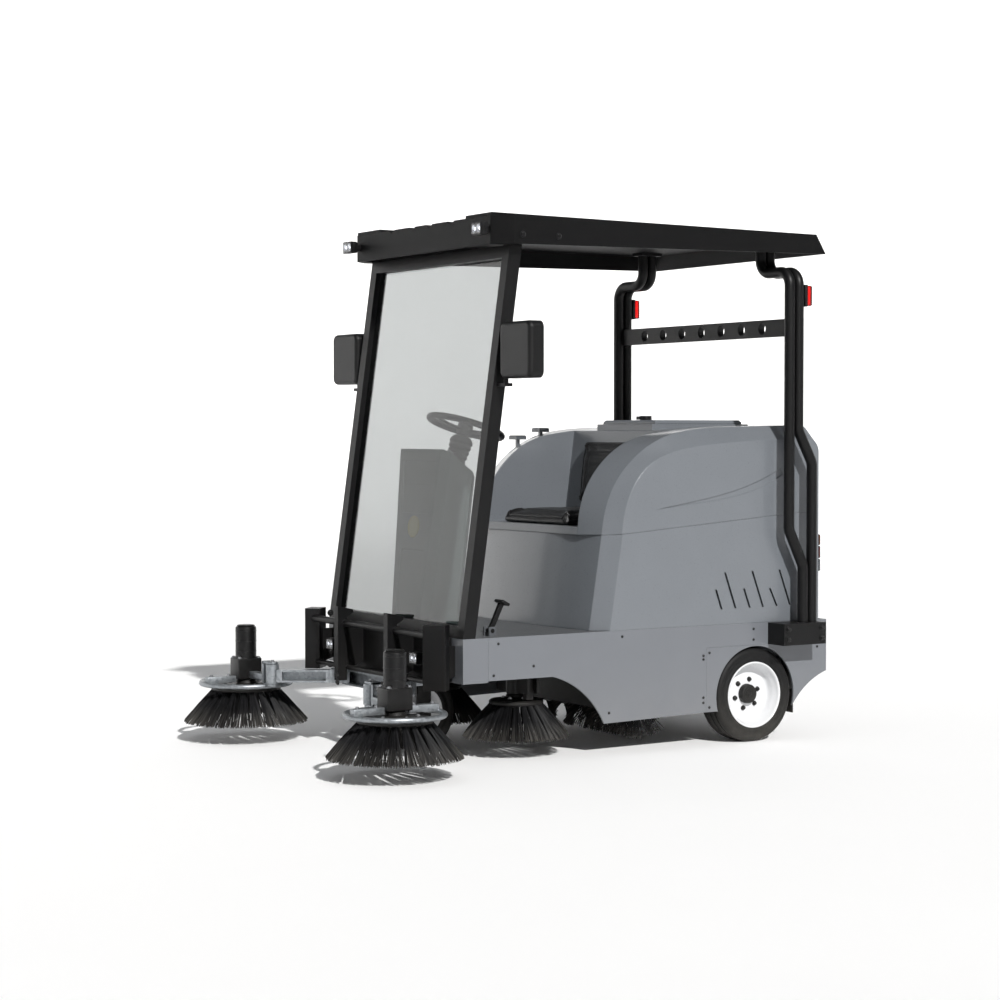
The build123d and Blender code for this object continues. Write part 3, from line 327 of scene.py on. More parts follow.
def coated(name, colour, roughness=0.45, gloss_spread=0.08, scale=500, relief=0.00012, mottle=0.05,
           edge=0.002, wear=0.3, under=STEEL, dust=0.3, dust_top=0.6, settled=0.08, stretch=(1, 1, 1),
           pebble=0.0, pebble_depth=0.0004, **values):
    """Paint, powder coat or moulded plastic: grain, colour drift, rubbed edges and road dust, and on pebbled
    plastic painted shade in the creases.
    """
    tree, shader = blank(name, **values)
    grain = group(tree, "surface_grain", {"Scale": scale, "Stretch": stretch})
    worn = group(tree, "edge_wear", {"Radius": edge, "Amount": wear})
    dirt = group(tree, "road_dust", {"Top": dust_top, "Amount": dust, "Settled": settled})
    tone = tint(tree, shader, colour, mottle, grain)
    tone = mix(tree, worn["Mask"], tone, under)
    height, normal = grain["Height"], worn["Normal"]
    if pebble:
        skin = group(tree, "pebble_skin", {"Scale": pebble})
        # painted shade: the pebble creases are darkened towards half the colour
        tone = mix(tree, times(tree, skin["Crease"], 0.35), tone, scaled(colour, 0.5))
        normal = node(tree, "ShaderNodeBump", {"Strength": 0.7, "Distance": pebble_depth,
                                               "Height": skin["Height"], "Normal": normal}).outputs[0]
    tree.links.new(mix(tree, dirt["Mask"], tone, DUST), shader.inputs["Base Color"])
    rough = lerp(tree, grain["Fine"], roughness - gloss_spread, roughness + gloss_spread)
    rough = lerp(tree, dirt["Mask"], rough, 0.85)
    tree.links.new(rough, shader.inputs["Roughness"])
    bump = node(tree, "ShaderNodeBump", {"Strength": 0.6, "Distance": relief, "Height": height,
                                         "Normal": normal})
    tree.links.new(bump.outputs[0], shader.inputs["Normal"])


def make_zinc():
    """Hot-dip zinc: flat crystals of slightly different grey and gloss."""
    tree, shader = blank("zinc_plate", metallic=0.85)
    place = node(tree, "ShaderNodeTexCoord").outputs["Object"]
    flakes = node(tree, "ShaderNodeTexVoronoi", {"Vector": place, "Scale": 95.0})
    grey = node(tree, "ShaderNodeSeparateColor", {0: flakes.outputs["Color"]}).outputs[0]
    grain = group(tree, "surface_grain", {"Scale": 700})
    worn = group(tree, "edge_wear", {"Radius": 0.0015, "Amount": 0.5})
    dirt = group(tree, "road_dust", {"Top": 0.5, "Amount": 0.35, "Settled": 0.1})
    tone = mix(tree, grey, shade(138, 143, 148), shade(170, 175, 180))
    tone = mix(tree, times(tree, grain["Mottle"], 0.35), tone, shade(112, 117, 122))
    tone = mix(tree, worn["Mask"], tone, shade(200, 204, 208))
    tree.links.new(mix(tree, dirt["Mask"], tone, DUST), shader.inputs["Base Color"])
    tree.links.new(lerp(tree, grey, 0.36, 0.52), shader.inputs["Roughness"])
    bump = node(tree, "ShaderNodeBump", {"Strength": 0.4, "Distance": 0.0001, "Height": grain["Height"],
                                         "Normal": worn["Normal"]})
    tree.links.new(bump.outputs[0], shader.inputs["Normal"])


def make_vinyl():
    """Black seat vinyl with a pebbled grain and painted shade in its creases, worn smoother in places."""
    tree, shader = blank("seat_vinyl", coat=0.12, coat_roughness=0.35)
    grain = group(tree, "surface_grain", {"Scale": 300, "Mottle Scale": 9})
    skin = group(tree, "pebble_skin", {"Scale": 420, "Crease": 0.22})
    dirt = group(tree, "road_dust", {"Top": 0.1, "Amount": 0.0, "Settled": 0.02})
    tone = tint(tree, shader, shade(17, 17, 18), 0.12, grain)
    # painted shade: the pebble creases are darkened almost to black
    tone = mix(tree, times(tree, skin["Crease"], 0.6), tone, shade(7, 7, 8))
    tree.links.new(mix(tree, dirt["Mask"], tone, DUST), shader.inputs["Base Color"])
    tree.links.new(lerp(tree, grain["Mottle"], 0.36, 0.5), shader.inputs["Roughness"])
    bump = node(tree, "ShaderNodeBump", {"Strength": 0.5, "Distance": 0.00035, "Height": skin["Height"]})
    tree.links.new(bump.outputs[0], shader.inputs["Normal"])


def make_bristles():
    """Nylon strands: each its own grey, paler and dustier towards the tip."""
    tree, shader = blank("brush_nylon", specular=0.25)
    tone = node(tree, "ShaderNodeAttribute", attribute_name="tone").outputs["Fac"]
    along = node(tree, "ShaderNodeAttribute", attribute_name="along").outputs["Fac"]
    base = mix(tree, tone, shade(7, 7, 8), shade(34, 34, 36))
    tip = ramp(tree, along, 0.5, 1.0, 0.0, 0.24)
    tree.links.new(mix(tree, times(tree, tip, tone), base, DUST), shader.inputs["Base Color"])
    tree.links.new(lerp(tree, along, 0.38, 0.7), shader.inputs["Roughness"])
    grain = group(tree, "surface_grain", {"Scale": 900})
    bump = node(tree, "ShaderNodeBump", {"Strength": 0.3, "Distance": 0.0002, "Height": grain["Height"]})
    tree.links.new(bump.outputs[0], shader.inputs["Normal"])


def make_pane(name, colour, roughness, smear):
    """Clear or coloured glass with a faint film of dirt, which lamps shine through."""
    tree, shader = blank(name, transmission=1.0, ior=1.45)
    grain = group(tree, "surface_grain", {"Scale": 40, "Mottle Scale": 2.5, "Stretch": (1, 1, 0.35)})
    tone = mix(tree, grain["Mottle"], colour, scaled(colour, 1 - smear))
    tree.links.new(tone, shader.inputs["Base Color"])
    tree.links.new(lerp(tree, grain["Mottle"], roughness, roughness + 0.003), shader.inputs["Roughness"])
    bump = node(tree, "ShaderNodeBump", {"Strength": 0.004, "Distance": 0.00002, "Height": grain["Height"]})
    tree.links.new(bump.outputs[0], shader.inputs["Normal"])
    clear = node(tree, "ShaderNodeBsdfTransparent", {"Color": colour})
    path = node(tree, "ShaderNodeLightPath")
    choice = node(tree, "ShaderNodeMixShader", {0: path.outputs["Is Shadow Ray"],
                                                1: shader.outputs[0], 2: clear.outputs[0]})
    tree.links.new(choice.outputs[0], tree.nodes["Material Output"].inputs["Surface"])


def make_led():
    """A lit chip: bright, and a little uneven across its face."""
    tree, shader = blank("led_chip", roughness=0.3, glow=2.4)
    grain = group(tree, "surface_grain", {"Scale": 300, "Mottle Scale": 120})
    tone = mix(tree, grain["Mottle"], shade(235, 240, 250), shade(255, 255, 255))
    tree.links.new(tone, shader.inputs["Base Color"])
    tree.links.new(tone, shader.inputs["Emission Color"])


def make_filter_paper():
    tree, shader = blank("filter_paper", roughness=0.9)
    grain = group(tree, "surface_grain", {"Scale": 900, "Mottle Scale": 12})
    tone = tint(tree, shader, shade(205, 196, 172), 0.08, grain)
    dirt = group(tree, "road_dust", {"Top": 0.1, "Amount": 0, "Settled": 0.5})
    tree.links.new(mix(tree, dirt["Mask"], tone, shade(120, 112, 98)), shader.inputs["Base Color"])
    bump = node(tree, "ShaderNodeBump", {"Strength": 0.7, "Distance": 0.0003, "Height": grain["Height"]})
    tree.links.new(bump.outputs[0], shader.inputs["Normal"])


def make_tread_plate():
    """Deck plate with raised bars that cross, five to the hand."""
    tree, shader = blank("deck_plate", metallic=0.0)
    place = node(tree, "ShaderNodeTexCoord").outputs["Object"]
    parts = node(tree, "ShaderNodeSeparateXYZ", {0: place})
    across = calc(tree, "SINE", times(tree, plus(tree, parts.outputs["X"], parts.outputs["Y"]), 210))
    against = calc(tree, "SINE", times(tree, minus(tree, parts.outputs["X"],
                                                             parts.outputs["Y"]), 210))
    bars = ramp(tree, times(tree, across, against), 0.25, 0.6, soft=True)
    grain = group(tree, "surface_grain", {"Scale": 500})
    worn = group(tree, "edge_wear", {"Radius": 0.0015, "Amount": 0.4})
    dirt = group(tree, "road_dust", {"Top": 0.5, "Amount": 0.1, "Settled": 0.08})
    tone = tint(tree, shader, shade(74, 77, 81), 0.06, grain)
    tone = mix(tree, times(tree, bars, 0.35), tone, shade(105, 108, 110))
    tree.links.new(mix(tree, dirt["Mask"], tone, DUST), shader.inputs["Base Color"])
    tree.links.new(lerp(tree, bars, 0.65, 0.42), shader.inputs["Roughness"])
    bump = node(tree, "ShaderNodeBump", {"Strength": 0.8, "Distance": 0.0015, "Height": bars,
                                         "Normal": worn["Normal"]})
    tree.links.new(bump.outputs[0], shader.inputs["Normal"])


def make_finishes():
    """Every finish the pieces and the carried parts use."""
    coated("body_paint", shade(103, 107, 112), roughness=0.34, scale=260, relief=0.00012, mottle=0.03,
           edge=0.006,
           wear=0.10, under=shade(150, 154, 160), dust=0.12, dust_top=0.6, settled=0.04, coat=0.35,
           coat_roughness=0.12)
    coated("panel_paint", shade(102, 105, 110), roughness=0.36, scale=260, relief=0.00012, mottle=0.03,
           edge=0.002, wear=0.22, dust=0.22, dust_top=0.4, settled=0.04, coat=0.3, coat_roughness=0.15)
    coated("console_mould", shade(92, 102, 101), roughness=0.42, scale=420, relief=0.0002, mottle=0.04,
           edge=0.006, wear=0.12, under=shade(140, 146, 146), dust=0.08, settled=0.04)
    coated("frame_coat", shade(11, 11, 12), roughness=0.42, scale=650, relief=0.0002, mottle=0.10,
           edge=0.0025,
           wear=0.30, under=shade(70, 72, 74), dust=0.10, dust_top=0.5, settled=0.02, specular=0.25)
    coated("roof_mould", shade(11, 11, 12), roughness=0.5, relief=0.0002, mottle=0.10, edge=0.005, wear=0.12,
           under=shade(50, 50, 52), dust=0.0, settled=0.02, pebble=260, pebble_depth=0.0004, specular=0.14)
    coated("black_mould", shade(10, 10, 11), roughness=0.42, relief=0.00015, mottle=0.10, edge=0.003,
           wear=0.12,
           under=shade(50, 50, 52), dust=0.08, settled=0.02, pebble=520, pebble_depth=0.0002, specular=0.28)
    coated("motor_coat", shade(11, 11, 12), roughness=0.36, scale=800, relief=0.00012, mottle=0.12,
           edge=0.002,
           wear=0.25, under=shade(80, 82, 84), dust=0.10, dust_top=0.4, settled=0.03, specular=0.3)
    coated("tyre_rubber", shade(13, 13, 14), roughness=0.6, scale=420, relief=0.0004, mottle=0.14, edge=0.002,
           wear=0.15, under=shade(44, 43, 42), dust=0.14, dust_top=0.3, settled=0.02, specular=0.25)
    coated("flap_rubber", shade(16, 16, 17), roughness=0.75, scale=300, relief=0.0005, mottle=0.12, wear=0.1,
           under=shade(50, 48, 46), dust=0.2, settled=0.02, specular=0.25)
    coated("rim_paint", shade(212, 213, 215), roughness=0.3, scale=300, relief=0.0001, mottle=0.02,
           edge=0.0015,
           wear=0.2, under=shade(150, 150, 152), dust=0.12, dust_top=0.3, coat=0.3, coat_roughness=0.12)
    coated("bright_steel", shade(150, 152, 155), roughness=0.32, scale=900, relief=0.00008, mottle=0.08,
           edge=0.0008, wear=0.2, under=shade(200, 201, 203), dust=0.1, stretch=(1, 1, 6), metallic=0.9)
    coated("screw_black", shade(16, 16, 17), roughness=0.4, scale=900, relief=0.00008, mottle=0.1,
           edge=0.0006, wear=0.35, dust=0.08, settled=0.02, metallic=0.3)
    coated("battery_case", shade(34, 36, 40), roughness=0.5, mottle=0.08, wear=0.1, dust=0.15, settled=0.2,
           pebble=380)
    coated("stop_cap", shade(180, 22, 18), roughness=0.35, mottle=0.05, wear=0.15, under=shade(225, 120, 110),
           dust=0.05, coat=0.2, coat_roughness=0.2)
    coated("badge_yellow", shade(190, 178, 52), roughness=0.4, scale=600, mottle=0.05, edge=0.0008, wear=0.35,
           under=shade(225, 220, 150), dust=0.05, coat=0.2, coat_roughness=0.25)
    coated("mirror_silver", shade(214, 218, 222), roughness=0.05, gloss_spread=0.02, scale=60, relief=0.00001,
           mottle=0.02, edge=0.0005, wear=0.1, dust=0.05, settled=0.0, metallic=1.0)
    coated("reflector", shade(222, 224, 228), roughness=0.12, gloss_spread=0.04, mottle=0.03, wear=0.0,
           dust=0.05, metallic=0.95)
    coated("stitch_thread", shade(48, 48, 50), roughness=0.8, scale=1500, relief=0.0002, mottle=0.15,
           wear=0.0, dust=0.05)
    make_zinc()
    make_vinyl()
    make_bristles()
    make_pane("windshield_pane", shade(152, 155, 155), 0.0, 0.03)
    make_pane("lens_clear", shade(245, 247, 250), 0.02, 0.03)
    make_pane("lens_red", shade(205, 18, 14), 0.08, 0.15)
    make_pane("lens_amber", shade(232, 118, 22), 0.08, 0.15)
    make_led()
    make_filter_paper()
    make_tread_plate()


# ---------------------------------------------------------------- mesh helpers
def turned(shape, profile, centre, axis, steps, closed=False, wave=None):
    """A lathe form: profile points are (radius, run along the axis).  wave(radius, run, angle)
    may change a radius.  Points on the axis become one vertex."""
    axis, centre = Vector(axis).normalized(), Vector(centre)
    across = axis.orthogonal().normalized()
    if abs(axis.z) < 0.9:
        across = (Z - axis * Z.dot(axis)).normalized()
    beside = axis.cross(across)
    rings = []
    for radius, run in profile:
        if radius == 0:
            rings.append([shape.verts.new(centre + axis * run)])
            continue
        ring = []
        for k in range(steps):
            angle = 2 * math.pi * k / steps
            r = wave(radius, run, angle) if wave else radius
            ring.append(shape.verts.new(centre + axis * run + (across * math.cos(angle)
                                                               + beside * math.sin(angle)) * r))
        rings.append(ring)
    pairs = list(zip(rings, rings[1:]))
    if closed:
        pairs.append((rings[-1], rings[0]))
    for low, high in pairs:
        if len(low) == 1 and len(high) == 1:
            continue
        for k in range(steps):
            corners = [low[k % len(low)], low[(k + 1) % len(low)],
                       high[(k + 1) % len(high)], high[k % len(high)]]
            shape.faces.new(list(dict.fromkeys(corners)))


def bar(shape, low, high, bevel=0.0, segments=2):
    """A block between two corners, with rounded edges."""
    low, high = Vector(map(min, low, high)), Vector(map(max, low, high))
    made = bmesh.ops.create_cube(shape, size=1.0)["verts"]
    for vert in made:
        vert.co = Vector((low[k] if vert.co[k] < 0 else high[k] for k in range(3)))
    if bevel:
        edges = list({edge for vert in made for edge in vert.link_edges})
        bmesh.ops.bevel(shape, geom=edges, offset=bevel, segments=segments, profile=0.5, affect="EDGES")


def ring_tube(shape, points, radius, sides):
    """A round cord along a closed loop of points."""
    count = len(points)
    rings = []
    for k, point in enumerate(points):
        run = (points[(k + 1) % count] - points[k - 1]).normalized()
        beside = run.cross(Z)
        if beside.length < 1e-3:
            beside = run.cross(Y)
        beside.normalize()
        above = beside.cross(run)
        turns = (2 * math.pi * side / sides for side in range(sides))
        rings.append([shape.verts.new(point + (beside * math.cos(turn) + above * math.sin(turn)) * radius)
                      for turn in turns])
    for k in range(count):
        low, high = rings[k], rings[(k + 1) % count]
        for side in range(sides):
            after = (side + 1) % sides
            shape.faces.new((low[side], low[after], high[after], high[side]))


def finish_piece(name, shape, finish, body, stands_for=(), crease=32):
    """Closes the mesh, gives it its finish and lets it ride on its body."""
    bmesh.ops.remove_doubles(shape, verts=shape.verts, dist=1e-6)
    bmesh.ops.recalc_face_normals(shape, faces=shape.faces)
    mesh = bpy.data.meshes.new(name)
    shape.to_mesh(mesh)
    shape.free()
    return mount_mesh(name, mesh, finish, body, stands_for, crease)


def mount_mesh(name, mesh, finish, body, stands_for=(), crease=32):
    """Makes the mesh a piece; it takes the place of the nodes it stands for."""
    mesh.shade_smooth()
    mesh.set_sharp_from_angle(angle=math.radians(crease))
    mesh.materials.clear()
    mesh.materials.append(finishes[finish])
    piece = bpy.data.objects.new(name, mesh)
    scene.collection.objects.link(piece)
    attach(piece, body)
    if stands_for:
        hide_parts(*stands_for)
    return piece


def body_with(node_name):
    return frame["nodes"][node_name]["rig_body"]


def middle_of(node_name):
    low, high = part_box(node_name)
    return (low + high) / 2


# ---------------------------------------------------------------- Geometry Nodes
def grown(name, tree, values, base=None):
    """Runs a Geometry Nodes tree once and keeps its result as a plain mesh."""
    host = bpy.data.objects.new(name, base or bpy.data.meshes.new(name))
    scene.collection.objects.link(host)
    modifier = host.modifiers.new(name, "NODES")
    modifier.node_group = tree
    for item in tree.interface.items_tree:
        if item.item_type == "SOCKET" and item.in_out == "INPUT" and item.name in values:
            modifier[item.identifier] = values[item.name]
    depsgraph = bpy.context.evaluated_depsgraph_get()
    mesh = bpy.data.meshes.new_from_object(host.evaluated_get(depsgraph), preserve_all_data_layers=True,
                                           depsgraph=depsgraph)
    bpy.data.objects.remove(host)
    return mesh


def chance(tree, strand, seed, low, high):
    """A random value that belongs to one strand."""
    return node(tree, "FunctionNodeRandomValue", {2: low, 3: high, "ID": strand, "Seed": seed},
                data_type="FLOAT").outputs[1]


def strands(tree, given, count, radius, angle, height, points=5):
    """Bristles: count curves whose points sit at (radius, angle, height) fields, given a thickness."""
    row = node(tree, "GeometryNodeMeshLine", {"Count": count})
    line = node(tree, "GeometryNodeCurvePrimitiveLine", {"End": (0, 0, 1)})
    fine = node(tree, "GeometryNodeResampleCurve", {"Curve": line.outputs[0], "Count": points})
    many = node(tree, "GeometryNodeInstanceOnPoints", {"Points": row.outputs[0], "Instance": fine.outputs[0]})
    named = node(tree, "GeometryNodeStoreNamedAttribute",
                 {"Geometry": many.outputs[0], "Name": "strand",
                  "Value": node(tree, "GeometryNodeInputIndex").outputs[0]},
                 data_type="INT", domain="INSTANCE")
    real = node(tree, "GeometryNodeRealizeInstances", {0: named.outputs[0]})
    bent = node(tree, "GeometryNodeSetPosition", {
        "Geometry": real.outputs[0],
        "Position": node(tree, "ShaderNodeCombineXYZ", {
            0: times(tree, radius, calc(tree, "COSINE", angle)),
            1: times(tree, radius, calc(tree, "SINE", angle)), 2: height}).outputs[0]})
    share = node(tree, "GeometryNodeSplineParameter").outputs["Factor"]
    strand = strand_number(tree)
    layered = bent.outputs[0]
    for label, value in (("along", share), ("tone", chance(tree, strand, 5, 0.0, 1.0))):
        layered = node(tree, "GeometryNodeStoreNamedAttribute",
                       {"Geometry": layered, "Name": label, "Value": value}, data_type="FLOAT",
                       domain="POINT").outputs[0]
    thinned = node(tree, "GeometryNodeSetCurveRadius",
                   {"Curve": layered, "Radius": ramp(tree, share, 0, 1, 1.0, 0.5)})
    ring = node(tree, "GeometryNodeCurvePrimitiveCircle", {"Resolution": 3, "Radius": given["Thickness"]})
    return node(tree, "GeometryNodeCurveToMesh",
                {"Curve": thinned.outputs[0], "Profile Curve": ring.outputs[0],
                 "Fill Caps": True}).outputs[0]


def strand_number(tree):
    return node(tree, "GeometryNodeInputNamedAttribute", {"Name": "strand"},
                data_type="INT").outputs["Attribute"]


def close_tree(tree, geometry, given, out):
    """Every tree ends the same way: real geometry with its finish."""
    real = node(tree, "GeometryNodeRealizeInstances", {0: geometry})
    done = node(tree, "GeometryNodeSetMaterial", {"Geometry": real.outputs[0], "Material": given["Finish"]})
    tree.links.new(done.outputs[0], out.inputs[0])


def make_cone_tree():
    """Conical broom: rows of tufts that fan out from a plate to the floor."""
    tree, given, out = start_group("broom_tufts", "GeometryNodeTree", [
        ("Tufts", "Int", 26), ("Rows", "Int", 2), ("Strands", "Int", 26), ("Root Radius", "Float", 0.13),
        ("Tip Radius", "Float", 0.24), ("Root Height", "Float", 0.2), ("Tip Height", "Float", 0.075),
        ("Row Step", "Float", 0.016), ("Tuft Width", "Float", 0.007), ("Fan", "Float", 1.05),
        ("Thickness", "Float", 0.0012), ("Seed", "Int", 3), ("Finish", "Material", None)],
        [("Geometry", "Geometry")])
    strand = strand_number(tree)
    share = node(tree, "GeometryNodeSplineParameter").outputs["Factor"]
    tuft = calc(tree, "FLOOR", ratio(tree, strand, given["Strands"]))
    row = calc(tree, "FLOOR", ratio(tree, tuft, given["Tufts"]))
    pitch = ratio(tree, 2 * math.pi, given["Tufts"])
    around = times(tree, pitch, plus(tree, tuft, times(tree, row, 0.13)))
    shift = [chance(tree, strand, plus(tree, given["Seed"], k), -1.0, 1.0) for k in range(4)]
    tuft_lean = chance(tree, tuft, plus(tree, given["Seed"], 9), -0.12, 0.12)
    root_spread = times(tree, shift[0], ratio(tree, given["Tuft Width"], given["Root Radius"]))
    tip_spread = times(tree, pitch, plus(tree, tuft_lean, times(
        tree, shift[0], times(tree, given["Fan"], 0.5))))
    stray = times(tree, times(tree, shift[3], share), times(tree, pitch, 0.10))
    angle = plus(tree, around, plus(tree, lerp(tree, share, root_spread, tip_spread), stray))
    inward = times(tree, row, given["Row Step"])
    root = minus(tree, calc(tree, "MULTIPLY_ADD", shift[1], given["Tuft Width"], given["Root Radius"]),
                 inward)
    reach = minus(tree, given["Tip Radius"], times(tree, calc(tree, "ABSOLUTE", shift[2]), 0.011))
    tip = minus(tree, reach, times(tree, inward, 1.6))
    bow = times(tree, calc(tree, "SINE", times(tree, share, math.pi)), 0.004)
    radius = plus(tree, lerp(tree, share, root, tip), bow)
    tip_height = calc(tree, "MULTIPLY_ADD", calc(tree, "ABSOLUTE", shift[3]), 0.009, given["Tip Height"])
    height = lerp(tree, share, given["Root Height"], tip_height)
    count = times(tree, times(tree, given["Tufts"], given["Rows"]), given["Strands"])
    close_tree(tree, strands(tree, given, count, radius, angle, height), given, out)


def make_roller_tree():
    """Roller: rows of bristles that wind half a turn each way from the middle."""
    tree, given, out = start_group("roller_tufts", "GeometryNodeTree", [
        ("Rows", "Int", 8), ("Strands", "Int", 420), ("Half Length", "Float", 0.38), ("Core", "Float", 0.06),
        ("Tip Radius", "Float", 0.15), ("Twist", "Float", 2.2), ("Thickness", "Float", 0.0014),
        ("Seed", "Int", 4), ("Finish", "Material", None)], [("Geometry", "Geometry")])
    strand = strand_number(tree)
    share = node(tree, "GeometryNodeSplineParameter").outputs["Factor"]
    row = calc(tree, "FLOOR", ratio(tree, strand, given["Strands"]))
    step = ratio(tree, calc(tree, "MODULO", strand, given["Strands"]), given["Strands"])
    run = calc(tree, "MULTIPLY_ADD", step, 2.0, -1.0)
    shift = [chance(tree, strand, plus(tree, given["Seed"], k), -1.0, 1.0) for k in range(3)]
    lay = times(tree, calc(tree, "ABSOLUTE", run), given["Twist"])
    turn = ratio(tree, times(tree, row, 2 * math.pi), given["Rows"])
    fan = times(tree, shift[0], calc(tree, "MULTIPLY_ADD", share, 0.10, 0.05))
    angle = plus(tree, plus(tree, turn, lay), fan)
    reach = minus(tree, given["Tip Radius"], times(tree, calc(tree, "ABSOLUTE", shift[2]), 0.008))
    radius = lerp(tree, share, given["Core"], reach)
    height = calc(tree, "MULTIPLY_ADD", run, given["Half Length"], times(
        tree, times(tree, shift[1], share), 0.006))
    count = times(tree, given["Rows"], given["Strands"])
    close_tree(tree, strands(tree, given, count, radius, angle, height, points=3), given, out)


def make_fastener_tree():
    """Screw and bolt heads, one on each point, facing along the point's own direction."""
    tree, given, out = start_group("fastener_heads", "GeometryNodeTree", [
        ("Points", "Geometry", None), ("Radius", "Float", 0.006), ("Height", "Float", 0.004),
        ("Sides", "Int", 6),
        ("Washer", "Float", 1.5), ("Finish", "Material", None)], [("Geometry", "Geometry")])
    head = node(tree, "GeometryNodeMeshCylinder", {"Vertices": given["Sides"], "Radius": given["Radius"],
                                                   "Depth": given["Height"]})
    crown = node(tree, "GeometryNodeMeshCone", {
        "Vertices": given["Sides"], "Radius Bottom": given["Radius"],
        "Radius Top": times(tree, given["Radius"], 0.72),
        "Depth": times(tree, given["Height"], 0.3)})
    washer = node(tree, "GeometryNodeMeshCylinder", {
        "Vertices": 14, "Radius": times(tree, given["Radius"], given["Washer"]),
        "Depth": times(tree, given["Height"], 0.35)})
    stack = node(tree, "GeometryNodeJoinGeometry")
    for part, lift in ((head, 0.6), (crown, 1.1), (washer, 0.17)):
        rise = node(tree, "ShaderNodeCombineXYZ", {2: times(tree, given["Height"], lift)})
        moved = node(tree, "GeometryNodeTransform",
                     {"Geometry": part.outputs[0], "Translation": rise.outputs[0]})
        tree.links.new(moved.outputs[0], stack.inputs[0])
    facing = node(tree, "GeometryNodeInputNamedAttribute", {"Name": "facing"}, data_type="FLOAT_VECTOR")
    turn = node(tree, "FunctionNodeAlignRotationToVector", {"Vector": facing.outputs["Attribute"]}, axis="Z")
    many = node(tree, "GeometryNodeInstanceOnPoints",
                {"Points": given["Points"], "Instance": stack.outputs[0],
                 "Rotation": turn.outputs[0]})
    close_tree(tree, many.outputs[0], given, out)


def make_stitch_tree():
    """Short threads that follow a seam."""
    tree, given, out = start_group("seam_stitches", "GeometryNodeTree", [
        ("Seam", "Geometry", None), ("Pitch", "Float", 0.006), ("Length", "Float", 0.0042),
        ("Thickness", "Float", 0.0007), ("Finish", "Material", None)], [("Geometry", "Geometry")])
    path = node(tree, "GeometryNodeMeshToCurve", {"Mesh": given["Seam"]})
    spaced = node(tree, "GeometryNodeResampleCurve", {"Curve": path.outputs[0], "Length": given["Pitch"]},
                  mode="LENGTH")
    thread = node(tree, "GeometryNodeMeshCylinder", {"Vertices": 6, "Radius": given["Thickness"],
                                                     "Depth": given["Length"]})
    turn = node(tree, "FunctionNodeAlignRotationToVector", {
        "Vector": node(tree, "GeometryNodeInputTangent").outputs[0]}, axis="Z")
    many = node(tree, "GeometryNodeInstanceOnPoints",
                {"Points": spaced.outputs[0], "Instance": thread.outputs[0],
                 "Rotation": turn.outputs[0]})
    close_tree(tree, many.outputs[0], given, out)


def make_rib_tree():
    """A row of thin plates: cooling fins, filter pleats and lens ribs."""
    tree, given, out = start_group("rib_row", "GeometryNodeTree", [
        ("Count", "Int", 6), ("Start", "Vector", (0, 0, 0)), ("Step", "Vector", (0.01, 0, 0)),
        ("Size", "Vector", (0.002, 0.02, 0.02)), ("Turn", "Vector", (0, 0, 0)), ("Finish", "Material", None)],
        [("Geometry", "Geometry")])
    spots = node(tree, "GeometryNodeMeshLine", {"Count": given["Count"], "Start Location": given["Start"],
                                                "Offset": given["Step"]})
    rib = node(tree, "GeometryNodeMeshCube", {"Size": given["Size"]})
    many = node(tree, "GeometryNodeInstanceOnPoints", {"Points": spots.outputs[0], "Instance": rib.outputs[0],
                                                       "Rotation": given["Turn"]})
    close_tree(tree, many.outputs[0], given, out)


def fasten(name, body, spots, radius, height, sides=6, finish="bright_steel", washer=1.5):
    """Heads at spots, a list of (place, facing)."""
    base = bpy.data.meshes.new(name)
    base.from_pydata([tuple(place) for place, _ in spots], [], [])
    facing = base.attributes.new("facing", "FLOAT_VECTOR", "POINT")
    for k, (_, direction) in enumerate(spots):
        facing.data[k].vector = tuple(direction)
    mesh = grown(name, bpy.data.node_groups["fastener_heads"],
                 {"Radius": radius, "Height": height, "Sides": sides, "Washer": washer,
                  "Finish": finishes[finish]}, base)
    return mount_mesh(name, mesh, finish, body)


def ribs(name, body, finish, slot, **values):
    """A row of plates; values are the inputs of the rib_row tree."""
    values = {label.replace("_", " ").title(): value for label, value in values.items()}
    mesh = grown(name, bpy.data.node_groups["rib_row"], {**values, "Finish": finishes[finish]})
    return mount_mesh(name, mesh, finish, body)


# ---------------------------------------------------------------- brushes
def broom(label, root_radius, root_height, tufts, strand_count, seed):
    """One conical broom: bristles, the plate they are set in and its hub."""
    low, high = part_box(label)
    centre = Vector(((low.x + high.x) / 2, (low.y + high.y) / 2, 0))
    body = body_with(label)
    tip_radius, tip_height = (high.x - low.x) / 2 - 0.002, low.z + 0.001
    mesh = grown(f"{label}_bristles", bpy.data.node_groups["broom_tufts"], {
        "Tufts": tufts, "Strands": strand_count, "Root Radius": root_radius - 0.012, "Tip Radius": tip_radius,
        "Root Height": root_height, "Tip Height": tip_height, "Seed": seed,
        "Finish": finishes["brush_nylon"]})
    for vert in mesh.vertices:
        vert.co += centre
    mount_mesh(f"{label}_bristles", mesh, "brush_nylon", body, (label,), crease=80)
    top = high.z - 0.012
    shape = bmesh.new()
    profile = [(0, root_height - 0.001), (root_radius - 0.034, root_height - 0.001),
               (root_radius - 0.028, root_height - 0.006), (root_radius - 0.004, root_height - 0.006),
               (root_radius, root_height - 0.001), (root_radius, root_height + 0.006),
               (root_radius - 0.005, root_height + 0.011), (root_radius - 0.030, root_height + 0.013),
               (root_radius - 0.048, root_height + 0.017), (0.048, root_height + 0.019),
               (0.040, root_height + 0.023), (0.038, top - 0.004), (0.033, top), (0.012, top),
               (0.012, high.z - 0.0095), (0, high.z - 0.0095)]
    turned(shape, profile, centre, Z, 64)
    finish_piece(f"{label}_plate", shape, "black_mould", body)
    ring = root_radius - 0.055
    spots = [(centre + Vector((math.cos(a) * ring, math.sin(a) * ring, root_height + 0.0175)), Z)
             for a in (k * math.pi / 3 for k in range(6))]
    fasten(f"{label}_bolts", body, spots, 0.0065, 0.005)


